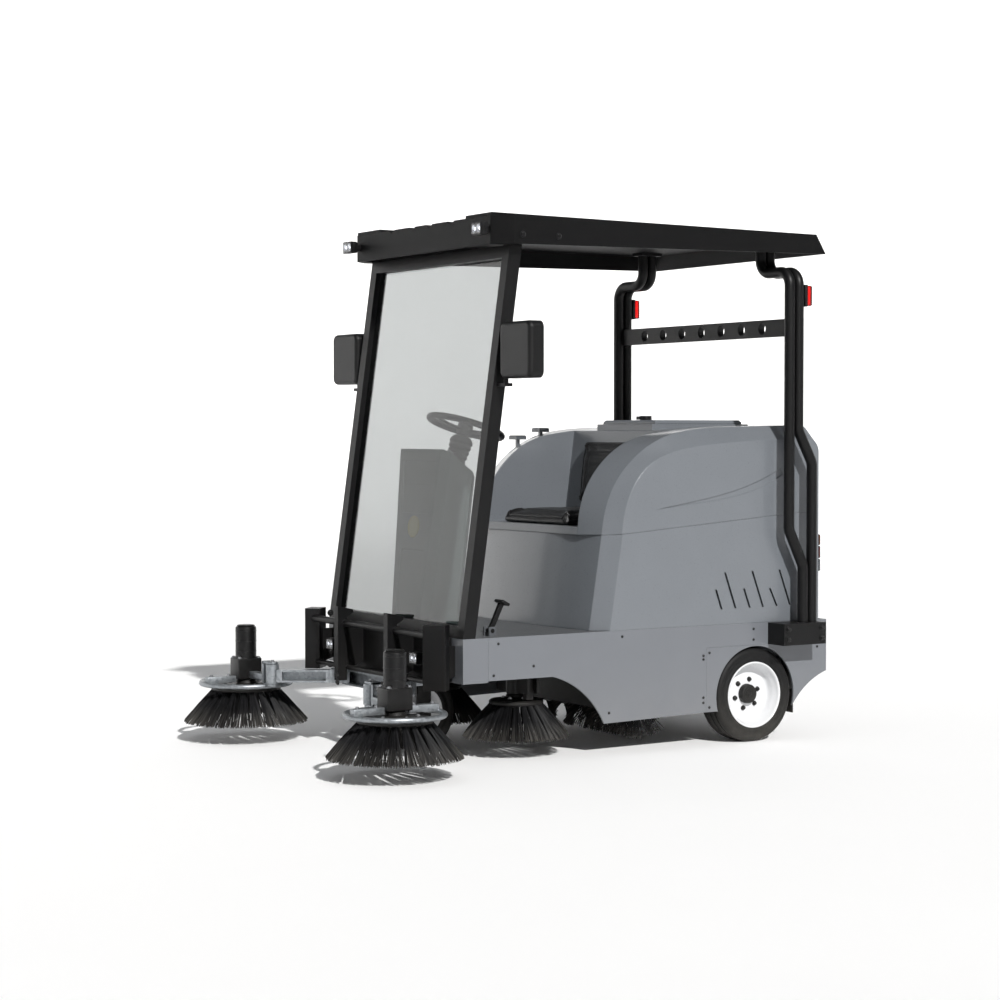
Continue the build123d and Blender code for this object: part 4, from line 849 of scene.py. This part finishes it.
def make_brushes():
    """Two front brooms, two middle brooms and the roller under the body."""
    for name, side_seed, mid_seed in (("left", 7, 41), ("right", 23, 57)):
        broom(f"side_brush_{name}", 0.136, 0.205, 24, 42, side_seed)
        broom(f"mid_brush_{name}", 0.103, 0.197, 22, 36, mid_seed)
    low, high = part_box("main_brush")
    centre, body = (low + high) / 2, body_with("main_brush")
    reach, stub = (high.z - low.z) / 2, 0.024
    half = (high.x - low.x) / 2 - stub
    mesh = grown("main_brush_bristles", bpy.data.node_groups["roller_tufts"], {
        "Half Length": half - 0.007, "Tip Radius": reach - 0.001, "Finish": finishes["brush_nylon"]})
    for vert in mesh.vertices:
        vert.co = centre + Vector((vert.co.z, vert.co.x, vert.co.y))
    mount_mesh("main_brush_bristles", mesh, "brush_nylon", body, ("main_brush",), crease=80)
    shape = bmesh.new()
    low_end = [(0, -half - stub), (0.014, -half - stub), (0.014, -half), (0.058, -half),
               (0.064, 0.006 - half)]
    turned(shape, low_end + [(radius, -run) for radius, run in low_end[::-1]], centre, X, 48)
    finish_piece("main_brush_core", shape, "black_mould", body)


# ---------------------------------------------------------------- wheels
def tyre(label, node_name, hub_r, grooves):
    """A solid tyre: domed tread with grooves, round shoulders and ringed side walls."""
    low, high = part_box(node_name)
    centre = (low + high) / 2
    half, outer = (high.x - low.x) / 2, (high.z - low.z) / 2
    soft, lip = 0.019, 0.002
    wall = [(hub_r, half - 0.004), (hub_r + 0.006, half), (hub_r + 0.014, half), (hub_r + 0.017, half - lip),
            (outer - soft - 0.010, half - lip), (outer - soft - 0.006, half)]
    for k in range(7):
        turn = math.pi / 2 * k / 6
        wall.append((outer - soft + soft * math.sin(turn), half - soft + soft * math.cos(turn)))
    profile = [(radius, -run) for radius, run in wall]
    for run in grooves:
        profile += [(outer, run - 0.0042), (outer - 0.007, run - 0.0026), (outer - 0.007, run + 0.0026),
                    (outer, run + 0.0042)]
    profile += wall[::-1]
    shape = bmesh.new()
    turned(shape, profile, centre, X, 112, closed=True)
    finish_piece(label, shape, "tyre_rubber", body_with(node_name), (node_name,), crease=38)


def rear_wheel(name, s):
    """Tyre, deep dished rim, hub cap and six lug bolts."""
    tyre(f"rear_tyre_{name}_tread", f"rear_tyre_{name}", 0.129, (-0.030, 0.0, 0.030))
    node_name = f"rear_rim_{name}"
    low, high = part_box(f"rear_tyre_{name}")
    centre = (low + high) / 2
    out = (high.x - low.x) / 2
    body = body_with(node_name)
    shape = bmesh.new()
    profile = [(0.130, -out + 0.008), (0.130, out - 0.004), (0.1295, out - 0.001), (0.126, out),
               (0.1225, out - 0.002), (0.1205, out - 0.007), (0.1195, out - 0.016), (0.113, out - 0.024),
               (0.110, out - 0.036),
               (0.107, out - 0.046), (0.102, out - 0.054), (0.094, out - 0.057), (0.070, out - 0.056),
               (0.046, out - 0.053), (0.020, out - 0.053), (0.020, out - 0.062), (0.050, out - 0.063),
               (0.096, out - 0.066), (0.110, out - 0.060), (0.118, out - 0.030), (0.121, -out + 0.008)]
    turned(shape, profile, centre, X * s, 96, closed=True)
    finish_piece(f"{node_name}_dish", shape, "rim_paint", body, (node_name,), crease=40)
    shape = bmesh.new()
    turned(shape, [(0, out - 0.062), (0.037, out - 0.062), (0.039, out - 0.052), (0.038, out - 0.046),
                   (0.0375, out - 0.036), (0.035, out - 0.031), (0.030, out - 0.029), (0.024, out - 0.0295),
                   (0.022, out - 0.031), (0.009, out - 0.031), (0.008, out - 0.028), (0, out - 0.0275)],
           centre, X * s, 48)
    finish_piece(f"hub_cap_{name}", shape, "black_mould", body)
    spots = [(centre + X * s * (out - 0.0555) + Vector((0, math.cos(a), math.sin(a))) * 0.0575, X * s)
             for a in (math.pi / 12 + k * math.pi / 3 for k in range(6))]
    fasten(f"lug_bolts_{name}", body, spots, 0.0075, 0.009, finish="screw_black",
           washer=1.35)


def front_wheel():
    """Tyre on a shallow pressed hub, bolted on both faces."""
    tyre("front_tyre_tread", "front_wheel", 0.093, (-0.022, 0.022))
    centre = middle_of("front_wheel")
    shape = bmesh.new()
    face = [(0.0101, 0.046), (0.026, 0.046), (0.028, 0.026), (0.070, 0.022), (0.084, 0.040), (0.090, 0.044),
            (0.094, 0.044)]
    profile = [(radius, -run) for radius, run in face] + face[::-1]
    turned(shape, profile, centre, X, 72, closed=True)
    finish_piece("front_wheel_hub", shape, "rim_paint", body_with("front_wheel"), crease=40)
    spots = []
    for s in (-1, 1):
        spots += [(centre + X * s * 0.0235 + Vector((0, math.cos(a), math.sin(a))) * 0.048, X * s)
                  for a in (k * 2 * math.pi / 5 for k in range(5))]
    fasten("front_wheel_bolts", body_with("front_wheel"), spots, 0.006, 0.005)


# ---------------------------------------------------------------- seat
PAD_INSET, PAD_VOXEL = 0.006, 0.006
PANEL_U, PANEL_V, SEAM_DEPTH, CHANNEL_DEPTH = 0.062, 0.058, 0.0045, 0.003
PIPING_INSET, PIPING_R = 0.017, 0.0034


def swell(piece, held_below, cap, along):
    """Blows the cushion up with cloth pressure, with its mounting face held."""
    mesh = piece.data
    held = piece.vertex_groups.new(name="held")
    rest = [vert.co.copy() for vert in mesh.vertices]
    held.add([k for k, co in enumerate(rest) if co.dot(along) < held_below], 1.0, "REPLACE")
    cloth = piece.modifiers.new("cloth", "CLOTH")
    cloth.settings.quality = 4
    cloth.settings.use_pressure = True
    cloth.settings.uniform_pressure_force = 4
    cloth.settings.vertex_group_mass = "held"
    cloth.settings.effector_weights.gravity = 0
    cloth.point_cache.frame_start, cloth.point_cache.frame_end = 1, 20
    for step in range(1, 21):
        scene.frame_set(step)
    depsgraph = bpy.context.evaluated_depsgraph_get()
    blown = [vert.co.copy() for vert in piece.evaluated_get(depsgraph).data.vertices]
    piece.modifiers.remove(cloth)
    scene.frame_set(1)
    for vert, old, new in zip(mesh.vertices, rest, blown):
        move = new - old
        vert.co = old + move * min(1.0, cap / max(move.length, 1e-9))
    piece.vertex_groups.clear()


def remeshed(name, shape, voxel):
    """The closed form as an even mesh of small squares."""
    mesh = bpy.data.meshes.new(name)
    shape.to_mesh(mesh)
    shape.free()
    host = bpy.data.objects.new(name, mesh)
    scene.collection.objects.link(host)
    modifier = host.modifiers.new("even", "REMESH")
    modifier.mode, modifier.voxel_size = "VOXEL", voxel
    depsgraph = bpy.context.evaluated_depsgraph_get()
    host.data = bpy.data.meshes.new_from_object(host.evaluated_get(depsgraph))
    host.modifiers.remove(modifier)
    return host


def outline_distance(u, v, half_u, half_v, corner):
    """Signed distance from a rounded rectangle in the cushion's own plane."""
    du, dv = abs(u) - half_u + corner, abs(v) - half_v + corner
    return math.hypot(max(du, 0), max(dv, 0)) + min(max(du, dv), 0) - corner


def outline_points(centre, across, up, half_u, half_v, corner, per_corner=8, step=0.012):
    """Points about a step apart round a rounded rectangle."""
    points = []
    for su, sv, turn in ((1, 1, 0), (-1, 1, 90), (-1, -1, 180), (1, -1, 270)):
        for k in range(per_corner + 1):
            a = math.radians(turn + 90 * k / per_corner)
            points.append(centre + across * (su * (half_u - corner) + corner * math.cos(a))
                          + up * (sv * (half_v - corner) + corner * math.sin(a)))
    dense = []
    for first, second in zip(points, points[1:] + points[:1]):
        pieces = max(1, round((second - first).length / step))
        dense += [first.lerp(second, k / pieces) for k in range(pieces)]
    return dense


def pad(label, node_name, centre, across, up, out, half_u, half_v, thick, held, cap):
    """A seat pad: swollen form, sewn panel, piping and stitches.  out is the side one sits against."""
    corner = 0.034
    shape = bmesh.new()
    start_u, start_v = half_u - PAD_INSET, half_v - PAD_INSET
    bar(shape, (-start_u, -start_v, 0.0), (start_u, start_v, thick - 0.010), 0.015, 3)
    for vert in shape.verts:
        vert.co = centre + across * vert.co.x + up * vert.co.y + out * vert.co.z
    bmesh.ops.recalc_face_normals(shape, faces=shape.faces)
    piece = remeshed(label, shape, PAD_VOXEL)
    swell(piece, centre.dot(out) + held, cap, out)
    panel_u, panel_v = half_u - PANEL_U, half_v - PANEL_V
    mesh = piece.data
    for vert in mesh.vertices:
        flat = vert.co - centre
        u, v = flat.dot(across), flat.dot(up)
        if vert.normal.dot(out) > 0.3:
            near = outline_distance(u, v, panel_u, panel_v, 0.03) / 0.007
            vert.co -= out * SEAM_DEPTH * math.exp(-near * near)
            for channel in (-0.5, 0.5):
                if abs(u) < panel_u - 0.004:
                    rib = (v - channel * panel_v * 0.66) / 0.006
                    vert.co -= out * CHANNEL_DEPTH * math.exp(-rib * rib)
        top = flat.dot(out)
        if top > thick:
            vert.co -= out * (top - thick)
    bpy.data.objects.remove(piece)
    piece = mount_mesh(label, mesh, "seat_vinyl", body_with(node_name), (node_name,), crease=60)
    smooth = piece.modifiers.new("smooth", "SUBSURF")
    smooth.levels = smooth.render_levels = 1
    skin = BVHTree.FromPolygons([vert.co.copy() for vert in mesh.vertices],
                                [tuple(face.vertices) for face in mesh.polygons])

    def lay(points, lift):
        laid = []
        for point in points:
            hit = skin.ray_cast(point + out * 0.2, -out)[0]
            laid.append((hit or point + out * thick * 0.8) + out * lift)
        return laid

    shape = bmesh.new()
    edge = outline_points(centre, across, up, half_u - PIPING_INSET, half_v - PIPING_INSET, corner)
    ring_tube(shape, lay(edge, 0.0), PIPING_R, 8)
    finish_piece(f"{label}_piping", shape, "seat_vinyl", body_with(node_name))
    seam = lay(outline_points(centre, across, up, panel_u + 0.009, panel_v + 0.009, 0.03), 0.0004)
    base = bpy.data.meshes.new("seam")
    links = [(k, (k + 1) % len(seam)) for k in range(len(seam))]
    base.from_pydata([tuple(point) for point in seam], links, [])
    stitches = grown(f"{label}_stitches", bpy.data.node_groups["seam_stitches"],
                     {"Finish": finishes["stitch_thread"]}, base)
    mount_mesh(f"{label}_stitches", stitches, "stitch_thread", body_with(node_name))


def make_seat():
    """The cushion lies flat; the backrest leans back."""
    low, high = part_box("seat_cushion")
    centre = Vector((0, (low.y + high.y) / 2, low.z))
    pad("seat_cushion_pad", "seat_cushion", centre, X, Y, Z, (high.x - low.x) / 2, (high.y - low.y) / 2,
        high.z - low.z, 0.012, 0.012)
    low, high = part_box("seat_backrest")
    lean = 0.135
    up = Vector((0, lean, 1)).normalized()
    out = Vector((0, -1, lean)).normalized()
    rise = (high.z - low.z) / 2
    thick = 0.041
    back = Vector((0, high.y - lean * rise, low.z + rise))
    pad("seat_backrest_pad", "seat_backrest", back, X, up, out, (high.x - low.x) / 2, rise - 0.004, thick,
        0.010, 0.009)


# ---------------------------------------------------------------- steering
def make_steering():
    """Wheel with finger grips and three spokes, the ribbed boot below it and the horn cap."""
    tilt = math.radians(18)
    up = Vector((0, math.sin(tilt), math.cos(tilt)))
    over = Vector((0, -math.cos(tilt), math.sin(tilt)))
    centre = middle_of("horn_button") - up * 0.0088
    rim_r, grip_r = 0.143, 0.0128

    def grips(radius, run, angle):
        return radius if radius > rim_r else radius + 0.0018 * max(0.0, math.cos(angle * 28))

    shape = bmesh.new()
    section = [(rim_r + grip_r * math.cos(a),
                grip_r * math.sin(a)) for a in (k * math.pi / 7 for k in range(14))]
    turned(shape, section, centre, up, 140, closed=True, wave=grips)
    spoke_section = ((-1, -0.6), (-0.7, -1), (0.7, -1), (1, -0.6), (1, 0.6), (0.7, 1), (-0.7, 1), (-1, 0.6))
    for turn in (90, 210, 330):
        angle = math.radians(turn)
        spoke = X * math.cos(angle) + over * math.sin(angle)
        beside = up.cross(spoke)
        rows = []
        for share in (0.0, 0.25, 0.5, 0.75, 1.0):
            reach = 0.026 + share * (rim_r - 0.026 - 0.004)
            wide = 0.0155 - 0.006 * math.sin(math.pi * min(1, share * 1.2))
            drop = -0.013 + 0.011 * share ** 2
            place = centre + spoke * reach
            rows.append([shape.verts.new(place + beside * b * wide + up * (drop + u * 0.0042))
                         for b, u in spoke_section])
        for first, second in zip(rows, rows[1:]):
            for k in range(8):
                shape.faces.new((first[k], first[(k + 1) % 8], second[(k + 1) % 8], second[k]))
        shape.faces.new(rows[0])
        shape.faces.new(rows[-1][::-1])
    turned(shape,
           [(0, -0.29), (0.0098, -0.29), (0.0098, -0.036), (0.026, -0.036), (0.030, -0.030), (0.0305, -0.006),
            (0.030, 0.006), (0.027, 0.010), (0.0203, 0.010), (0.0203, -0.0025), (0, -0.0025)], centre, up, 48)
    finish_piece("steering_wheel_rim", shape, "black_mould", "steering_wheel",
                 ("steering_wheel",), crease=50)
    shape = bmesh.new()
    profile = [(0.0103, -0.30), (0.021, -0.30), (0.021, -0.232)]
    ribs_count, low_run, high_run = 9, -0.228, -0.052
    for k in range(ribs_count):
        run = low_run + (high_run - low_run) * k / ribs_count
        pitch = (high_run - low_run) / ribs_count
        wide = 0.0285 + 0.017 * k / (ribs_count - 1)
        profile += [(wide - 0.006, run), (wide, run + pitch * 0.30), (wide + 0.0004, run + pitch * 0.5),
                    (wide, run + pitch * 0.70)]
    profile += [(0.040, -0.050), (0.034, -0.042), (0.022, -0.038), (0.0103, -0.038)]
    turned(shape, profile, centre, up, 56, closed=True)
    finish_piece("steering_column_boot", shape, "black_mould", "chassis",
                 ("steering_column",), crease=50)
    shape = bmesh.new()
    turned(shape,
           [(0, 0.001), (0.0192, 0.001), (0.0198, 0.004), (0.0195, 0.011), (0.017, 0.0128), (0.012, 0.0142),
            (0, 0.0148)], centre, up, 40)
    finish_piece("horn_cap", shape, "black_mould", "horn_button", ("horn_button",))


# ---------------------------------------------------------------- lamps and mirrors
def led_lamp(shapes, low, high):
    """A square work lamp that looks forwards: rim, two bowls, chips and a lens."""
    case, bowls, chips, lens = shapes
    rim, inset = 0.004, 0.0042
    wide, tall = high.x - low.x, high.z - low.z
    bar(case, (low.x, low.y + 0.010, low.z), high, 0.003)
    for x0, x1, z0, z1 in ((low.x, low.x + rim, low.z, high.z), (high.x - rim, high.x, low.z, high.z),
                           (low.x, high.x, low.z, low.z + rim), (low.x, high.x, high.z - rim, high.z)):
        bar(case, (x0, low.y + 0.012, z0), (x1, low.y, z1), 0.001, 1)
    radius = min(wide / 4, tall / 2) - 0.0028
    for s in (-1, 1):
        spot = Vector(((low.x + high.x) / 2 + s * wide / 4, low.y, (low.z + high.z) / 2))
        turned(bowls, [(0, 0.0095), (radius * 0.3, 0.0095), (radius * 0.62, 0.0075), (radius * 0.9, 0.0030),
                       (radius, 0.0014), (radius + 0.0006, 0.0030), (radius * 0.7, 0.0098), (0, 0.0099)],
               spot, Y, 28)
        turned(chips, [(0, 0.0092), (radius * 0.42, 0.0090), (radius * 0.36, 0.0062), (radius * 0.2, 0.0050),
                       (0, 0.0046)], spot, Y, 20)
    bar(lens, (low.x + inset, low.y + 0.0002, low.z + inset),
        (high.x - inset, low.y + 0.0012, high.z - inset), 0.0004, 1)


def make_lamps():
    """Four square work lamps: two low behind the guard, two at the roof's front corners."""
    low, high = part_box("headlamps")
    nodes_low = (0.299, 0.355, low.y, low.y + 0.042, 0.368, 0.412)
    nodes_high = (high.x - 0.066, high.x, low.y + 0.170, low.y + 0.204, 1.926, 1.972)
    shapes = [bmesh.new() for _ in range(4)]
    stubs = bmesh.new()
    fins = []
    for x0, x1, y0, y1, z0, z1 in (nodes_low, nodes_high):
        for _, s in SIDES:
            corner_low = Vector((min(s * x0, s * x1), y0, z0))
            corner_high = Vector((max(s * x0, s * x1), y1 - 0.006, z1))
            led_lamp(shapes, corner_low, corner_high)
            fins.append((corner_low, corner_high))
    for _, s in SIDES:
        bar(stubs, (s * 0.312, low.y + 0.036, 0.380), (s * 0.342, low.y + 0.0765, 0.400), 0.002)
        bar(stubs, (s * (high.x - 0.055), low.y + 0.198, 1.936), (s * (high.x - 0.025), high.y, 1.962), 0.002)
    finish_piece("lamp_brackets", stubs, "frame_coat", "chassis")
    names = ("lamp_cases", "lamp_bowls", "lamp_chips", "lamp_lenses")
    for name, shape, finish in zip(names, shapes, ("motor_coat", "reflector", "led_chip", "lens_clear")):
        finish_piece(name, shape, finish, "chassis",
                     ("headlamps",) if name == "lamp_cases" else ())
    for k, (corner_low, corner_high) in enumerate(fins):
        wide = corner_high.x - corner_low.x
        ribs(f"lamp_fins_{k + 1}", "chassis", "motor_coat", "lamp_clear", count=7,
             start=(corner_low.x + wide * 0.08, corner_high.y + 0.002, (corner_low.z + corner_high.z) / 2),
             step=(wide * 0.14, 0, 0), size=(0.0018, 0.008, corner_high.z - corner_low.z - 0.006))


def lens_ribs(shape, x, half, y0, y1, heights, tall=0.0014):
    """Raised bars across a lens, one at each height."""
    for z in heights:
        bar(shape, (x - half, y0, z - tall), (x + half, y1, z + tall), 0.0006, 1)


def make_rear_lamps():
    """Three stacked lenses low on each rear corner and a red lamp high on each post."""
    _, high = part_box("rear_lamps")
    back, post_x, post_back = high.y, high.x - 0.016, 0.9545
    case, red, amber, clear, post = (bmesh.new() for _ in range(5))
    for _, s in SIDES:
        bar(case, (s * 0.440, back - 0.034, 0.656), (s * 0.500, back - 0.018, 0.809), 0.003)
        for shape, z0, z1 in ((amber, 0.762, 0.806), (red, 0.710, 0.760), (clear, 0.659, 0.708)):
            bar(shape, (s * 0.443, back - 0.020, z0), (s * 0.497, back - 0.003, z1), 0.006, 3)
            heights = [z0 + (z1 - z0) * (k + 1) / 7 for k in range(6)]
            lens_ribs(shape, s * 0.470, 0.021, back - 0.004, back - 0.0012, heights)
    for _, s in SIDES:
        x = s * post_x
        bar(case, (x - 0.016, post_back, 1.706), (x + 0.016, post_back + 0.014, 1.792), 0.003)
        bar(post, (x - 0.0135, post_back + 0.012, 1.709), (x + 0.0135, post_back + 0.040, 1.789), 0.007, 3)
        heights = [1.715 + 0.0085 * k for k in range(9)]
        lens_ribs(post, x, 0.0095, post_back + 0.038, post_back + 0.0412, heights, 0.0012)
    finish_piece("rear_lamp_cases", case, "black_mould", "chassis", ("rear_lamps",))
    finish_piece("rear_lamp_red", red, "lens_red", "chassis")
    finish_piece("rear_lamp_amber", amber, "lens_amber", "chassis")
    finish_piece("rear_lamp_clear", clear, "lens_clear", "chassis")
    finish_piece("post_lamp_red", post, "lens_red", "chassis")


def make_mirror_glass():
    """A slightly domed glass in each mirror's recess."""
    for name, s in SIDES:
        low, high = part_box(f"mirror_{name}")
        half_u, half_v = (high.x - low.x) / 2 - 0.0175, (high.z - low.z) / 2 - 0.019
        centre = Vector(((low.x + high.x) / 2 + s * 0.004, high.y - 0.0047, (low.z + high.z) / 2 + 0.003))
        shape = bmesh.new()
        count, share = 12, 0.94
        grid = []
        for row in range(count + 1):
            line = []
            for column in range(count + 1):
                u, v = -1 + 2 * column / count, -1 + 2 * row / count
                dome = 0.0022 * (1 - 0.5 * (u * u + v * v))
                line.append(shape.verts.new(centre + Vector((u * half_u * share, dome, v * half_v * share))))
            grid.append(line)
        for low_row, high_row in zip(grid, grid[1:]):
            for k in range(count):
                shape.faces.new((low_row[k], low_row[k + 1], high_row[k + 1], high_row[k]))
        thick = bmesh.ops.extrude_face_region(shape, geom=shape.faces[:])
        for item in thick["geom"]:
            if isinstance(item, bmesh.types.BMVert):
                item.co.y = centre.y - 0.0012
        finish_piece(f"mirror_glass_{name}", shape, "mirror_silver", body_with(f"mirror_{name}"))


# ---------------------------------------------------------------- small parts
# (run from the front cap's face, height) of the screws on each side panel
SKIRT_SCREWS = ((1.328, 0.445), (1.328, 0.403), (1.083, 0.352), (1.083, 0.338), (1.083, 0.190),
                (1.083, 0.170),
                (0.303, 0.356), (0.150, 0.445), (0.700, 0.445), (0.640, 0.160), (1.112, 0.362),
                (1.112, 0.150), (1.650, 0.360), (1.650, 0.445), (0.130, 0.330))


def make_badge():
    """A plain round badge on the console's front face."""
    low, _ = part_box("console_shell")
    lean = 0.106
    up = Vector((0, lean, 1)).normalized()
    out = Vector((0, -1, lean)).normalized()
    centre = Vector((0, low.y, low.z)) + up * 0.389 + out * 0.0002
    shape = bmesh.new()
    turned(shape,
           [(0, -0.001), (0.042, -0.001), (0.042, 0.0012), (0.0405, 0.0026), (0.0385, 0.0026),
            (0.0375, 0.0014),
            (0.030, 0.0014), (0.029, 0.0022), (0.027, 0.0022), (0.026, 0.0014), (0, 0.0018)], centre, out, 64)
    finish_piece("console_badge", shape, "badge_yellow", "chassis")


def drive_spots(s):
    """The front brush's axis and the swivel pin's axis, at floor height."""
    return Vector((s * 0.600, -0.8895, 0)), Vector((s * 0.395, -0.8745, 0))


def make_side_motors():
    """Black drive and gearbox; the guard ring, its straps and the swivel bracket are zinc plated."""
    for name, s in SIDES:
        label = f"side_motor_{name}"
        hub, pin = drive_spots(s)
        shape = bmesh.new()
        turned(shape, [(0, 0.324), (0.041, 0.324), (0.041, 0.4420), (0.0400, 0.4465), (0.0365, 0.4495),
                       (0.032, 0.4510), (0, 0.4510)], hub, Z, 56)
        bar(shape, hub + Vector((-0.040, -0.050, 0.2440)), hub + Vector((0.040, 0.050, 0.325)), 0.004, 3)
        bar(shape, hub + Vector((-0.034, -0.044, 0.3240)), hub + Vector((0.034, 0.044, 0.3300)), 0.002)
        finish_piece(f"{label}_drive", shape, "motor_coat", body_with(label), (label,))
        shape = bmesh.new()
        turned(shape, [(0.175 + 0.010 * math.cos(a), 0.228 + 0.010 * math.sin(a))
                       for a in (k * math.pi / 7 for k in range(14))], hub, Z, 96, closed=True)
        for end in (-1, 1):
            bar(shape, hub + Vector((-0.015, end * 0.049, 0.231)), hub + Vector((0.015, end * 0.171, 0.2575)),
                0.002)
        turned(shape, [(0, 0.230), (0.010, 0.230), (0.010, 0.326), (0, 0.326)], pin, Z, 24)
        for low, high in ((0.230, 0.2415), (0.3165, 0.326)):
            turned(shape,
                   [(0, low), (0.0205, low), (0.022, low + 0.0015), (0.022, high - 0.0015), (0.0205, high),
                    (0, high)], pin, Z, 36)
            bar(shape, pin + Vector((0, -0.020, low)), pin + Vector((s * 0.052, 0.014, high)), 0.001)
        bar(shape, pin + Vector((s * 0.040, -0.020, 0.230)), pin + Vector((s * 0.052, 0.014, 0.326)), 0.001)
        bar(shape, pin + Vector((s * 0.051, -0.020, 0.248)), pin + Vector((s * 0.166, 0.014, 0.274)), 0.001)
        finish_piece(f"{label}_guard", shape, "zinc_plate", body_with(label))


def make_fasteners():
    """Screws and bolts at the seams, brackets and hinges, and the front drives' cooling rings."""
    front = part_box("front_cap")[0].y
    skirt_x, guard_x, foot_x, roof_x, beam_x = 0.5181, 0.4505, 0.6203, 0.5668, 0.175
    screws, bolts = [], []
    for _, s in SIDES:
        for run, height in SKIRT_SCREWS:
            screws.append((Vector((s * skirt_x, front + run, height)), X * s))
        bolts += [(Vector((s * guard_x, front - 0.030, z)), X * -s) for z in (0.296, 0.345, 0.470, 0.500)]
        bolts += [(Vector((s * foot_x, front + run, z)), X * s) for run in (1.420, 1.590) for z in (0.405,
                                                                                                    0.445)]
        bolts += [(Vector((s * roof_x, front + run, 1.930)), X * s) for run in (0.225, 0.380)]
        bolts += [(Vector((s * beam_x, -0.7047, z)), Y * -1) for z in (0.258, 0.2814)]
    fasten("panel_screws", "chassis", screws, 0.0042, 0.0026, sides=12, finish="screw_black",
           washer=1.25)
    fasten("frame_bolts", "chassis", bolts, 0.0085, 0.006, finish="screw_black")
    for name, s in SIDES:
        label = f"side_motor_{name}"
        hub, pin = drive_spots(s)
        heads = [(hub + Vector((dx, dy, 0.3251)), Z) for dx in (-0.030, 0.030) for dy in (-0.040, 0.040)]
        heads.append((pin + Vector((0, 0, 0.3261)), Z))
        heads += [(pin + Vector((s * 0.0522, -0.003, z)), X * s) for z in (0.272, 0.302)]
        heads += [(hub + Vector((0, end * reach, 0.2582)), Z) for end in (-1, 1) for reach in (0.150, 0.075)]
        fasten(f"{label}_bolts", body_with(label), heads, 0.0062, 0.005)
        shape = bmesh.new()
        turned(shape, [(0, 0.4505), (0.034, 0.4505), (0.036, 0.4535), (0.030, 0.4560), (0.012, 0.4565),
                       (0, 0.4565)], hub, Z, 40)
        for k in range(3):
            z = 0.352 + 0.040 * k
            turned(shape, [(0.0405, z - 0.0018), (0.0421, z - 0.0012), (0.0421, z + 0.0012),
                           (0.0405, z + 0.0018)], hub, Z, 48, closed=True)
        finish_piece(f"{label}_cap", shape, "motor_coat", body_with(label))


def make_filter():
    """Pleated paper in a frame."""
    low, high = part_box("dust_filter")
    ribs("filter_pleats", "chassis", "filter_paper", "filter_paper", count=64,
         start=(0, low.y + 0.024, high.z - 0.020), step=(0, 0.0052, 0), size=(0.284, 0.0012, 0.038),
         turn=(0.14, 0, 0))
    shape = bmesh.new()
    bar(shape, low, (high.x, high.y, low.z + 0.024), 0.003)
    y0, y1, half = low.y + 0.012, high.y - 0.012, 0.150
    for x_low, x_high, y_low, y_high in ((-0.152, -0.143, y0, y1), (0.143, 0.152, y0, y1),
                                         (-half, half, y0, y0 + 0.008), (-half, half, y1 - 0.008, y1)):
        bar(shape, (x_low, y_low, low.z + 0.020), (x_high, y_high, high.z - 0.0005), 0.0015, 1)
    finish_piece("filter_frame", shape, "black_mould", "chassis", ("dust_filter",))


# ---------------------------------------------------------------- CAD parts that keep their shape
CARRIED = {
    "body_paint": ("base_shell", "hood_shell", "filter_lid", "front_lift_lever", "main_lift_lever"),
    "panel_paint": ("front_cap", "side_skirt_left", "side_skirt_right", "wheel_cover_left",
                    "wheel_cover_right", "hopper_bin"),
    "deck_plate": ("floor_deck",),
    "console_mould": ("console_shell",),
    "frame_coat": ("chassis_frame", "front_guard", "windshield_frame", "roll_frame", "brush_housing",
                   "rear_axle", "front_fork", "brush_carrier", "drive_pedal", "foot_lever"),
    "zinc_plate": ("arm_beam", "side_arm_left", "side_arm_right"),
    "motor_coat": ("mid_motor_left", "mid_motor_right", "vacuum_fan"),
    "roof_mould": ("roof_canopy",),
    "black_mould": ("dashboard", "mirror_left", "mirror_right", "lid_latch"),
    "windshield_pane": ("windshield_glass",),
    "flap_rubber": ("rear_flap",),
    "battery_case": ("battery_pack",),
    "stop_cap": ("stop_button",),
    "bright_steel": ("key_switch",),
}


def dress_carried():
    """Gives each part of the frame its finish, with its mesh as it is."""
    for finish, names in CARRIED.items():
        for name in names:
            for slot in frame["nodes"][name].material_slots:
                slot.material = finishes[finish]


# ---------------------------------------------------------------- making
make_camera()
make_grain_group()
make_wear_group()
make_dust_group()
make_pebble_group()
make_finishes()
make_studio()
make_lights()
make_cone_tree()
make_roller_tree()
make_fastener_tree()
make_stitch_tree()
make_rib_tree()
dress_carried()
make_brushes()
for side_name, side_sign in SIDES:
    rear_wheel(side_name, side_sign)
front_wheel()
make_seat()
make_steering()
make_lamps()
make_rear_lamps()
make_mirror_glass()
make_badge()
make_side_motors()
make_fasteners()
make_filter()
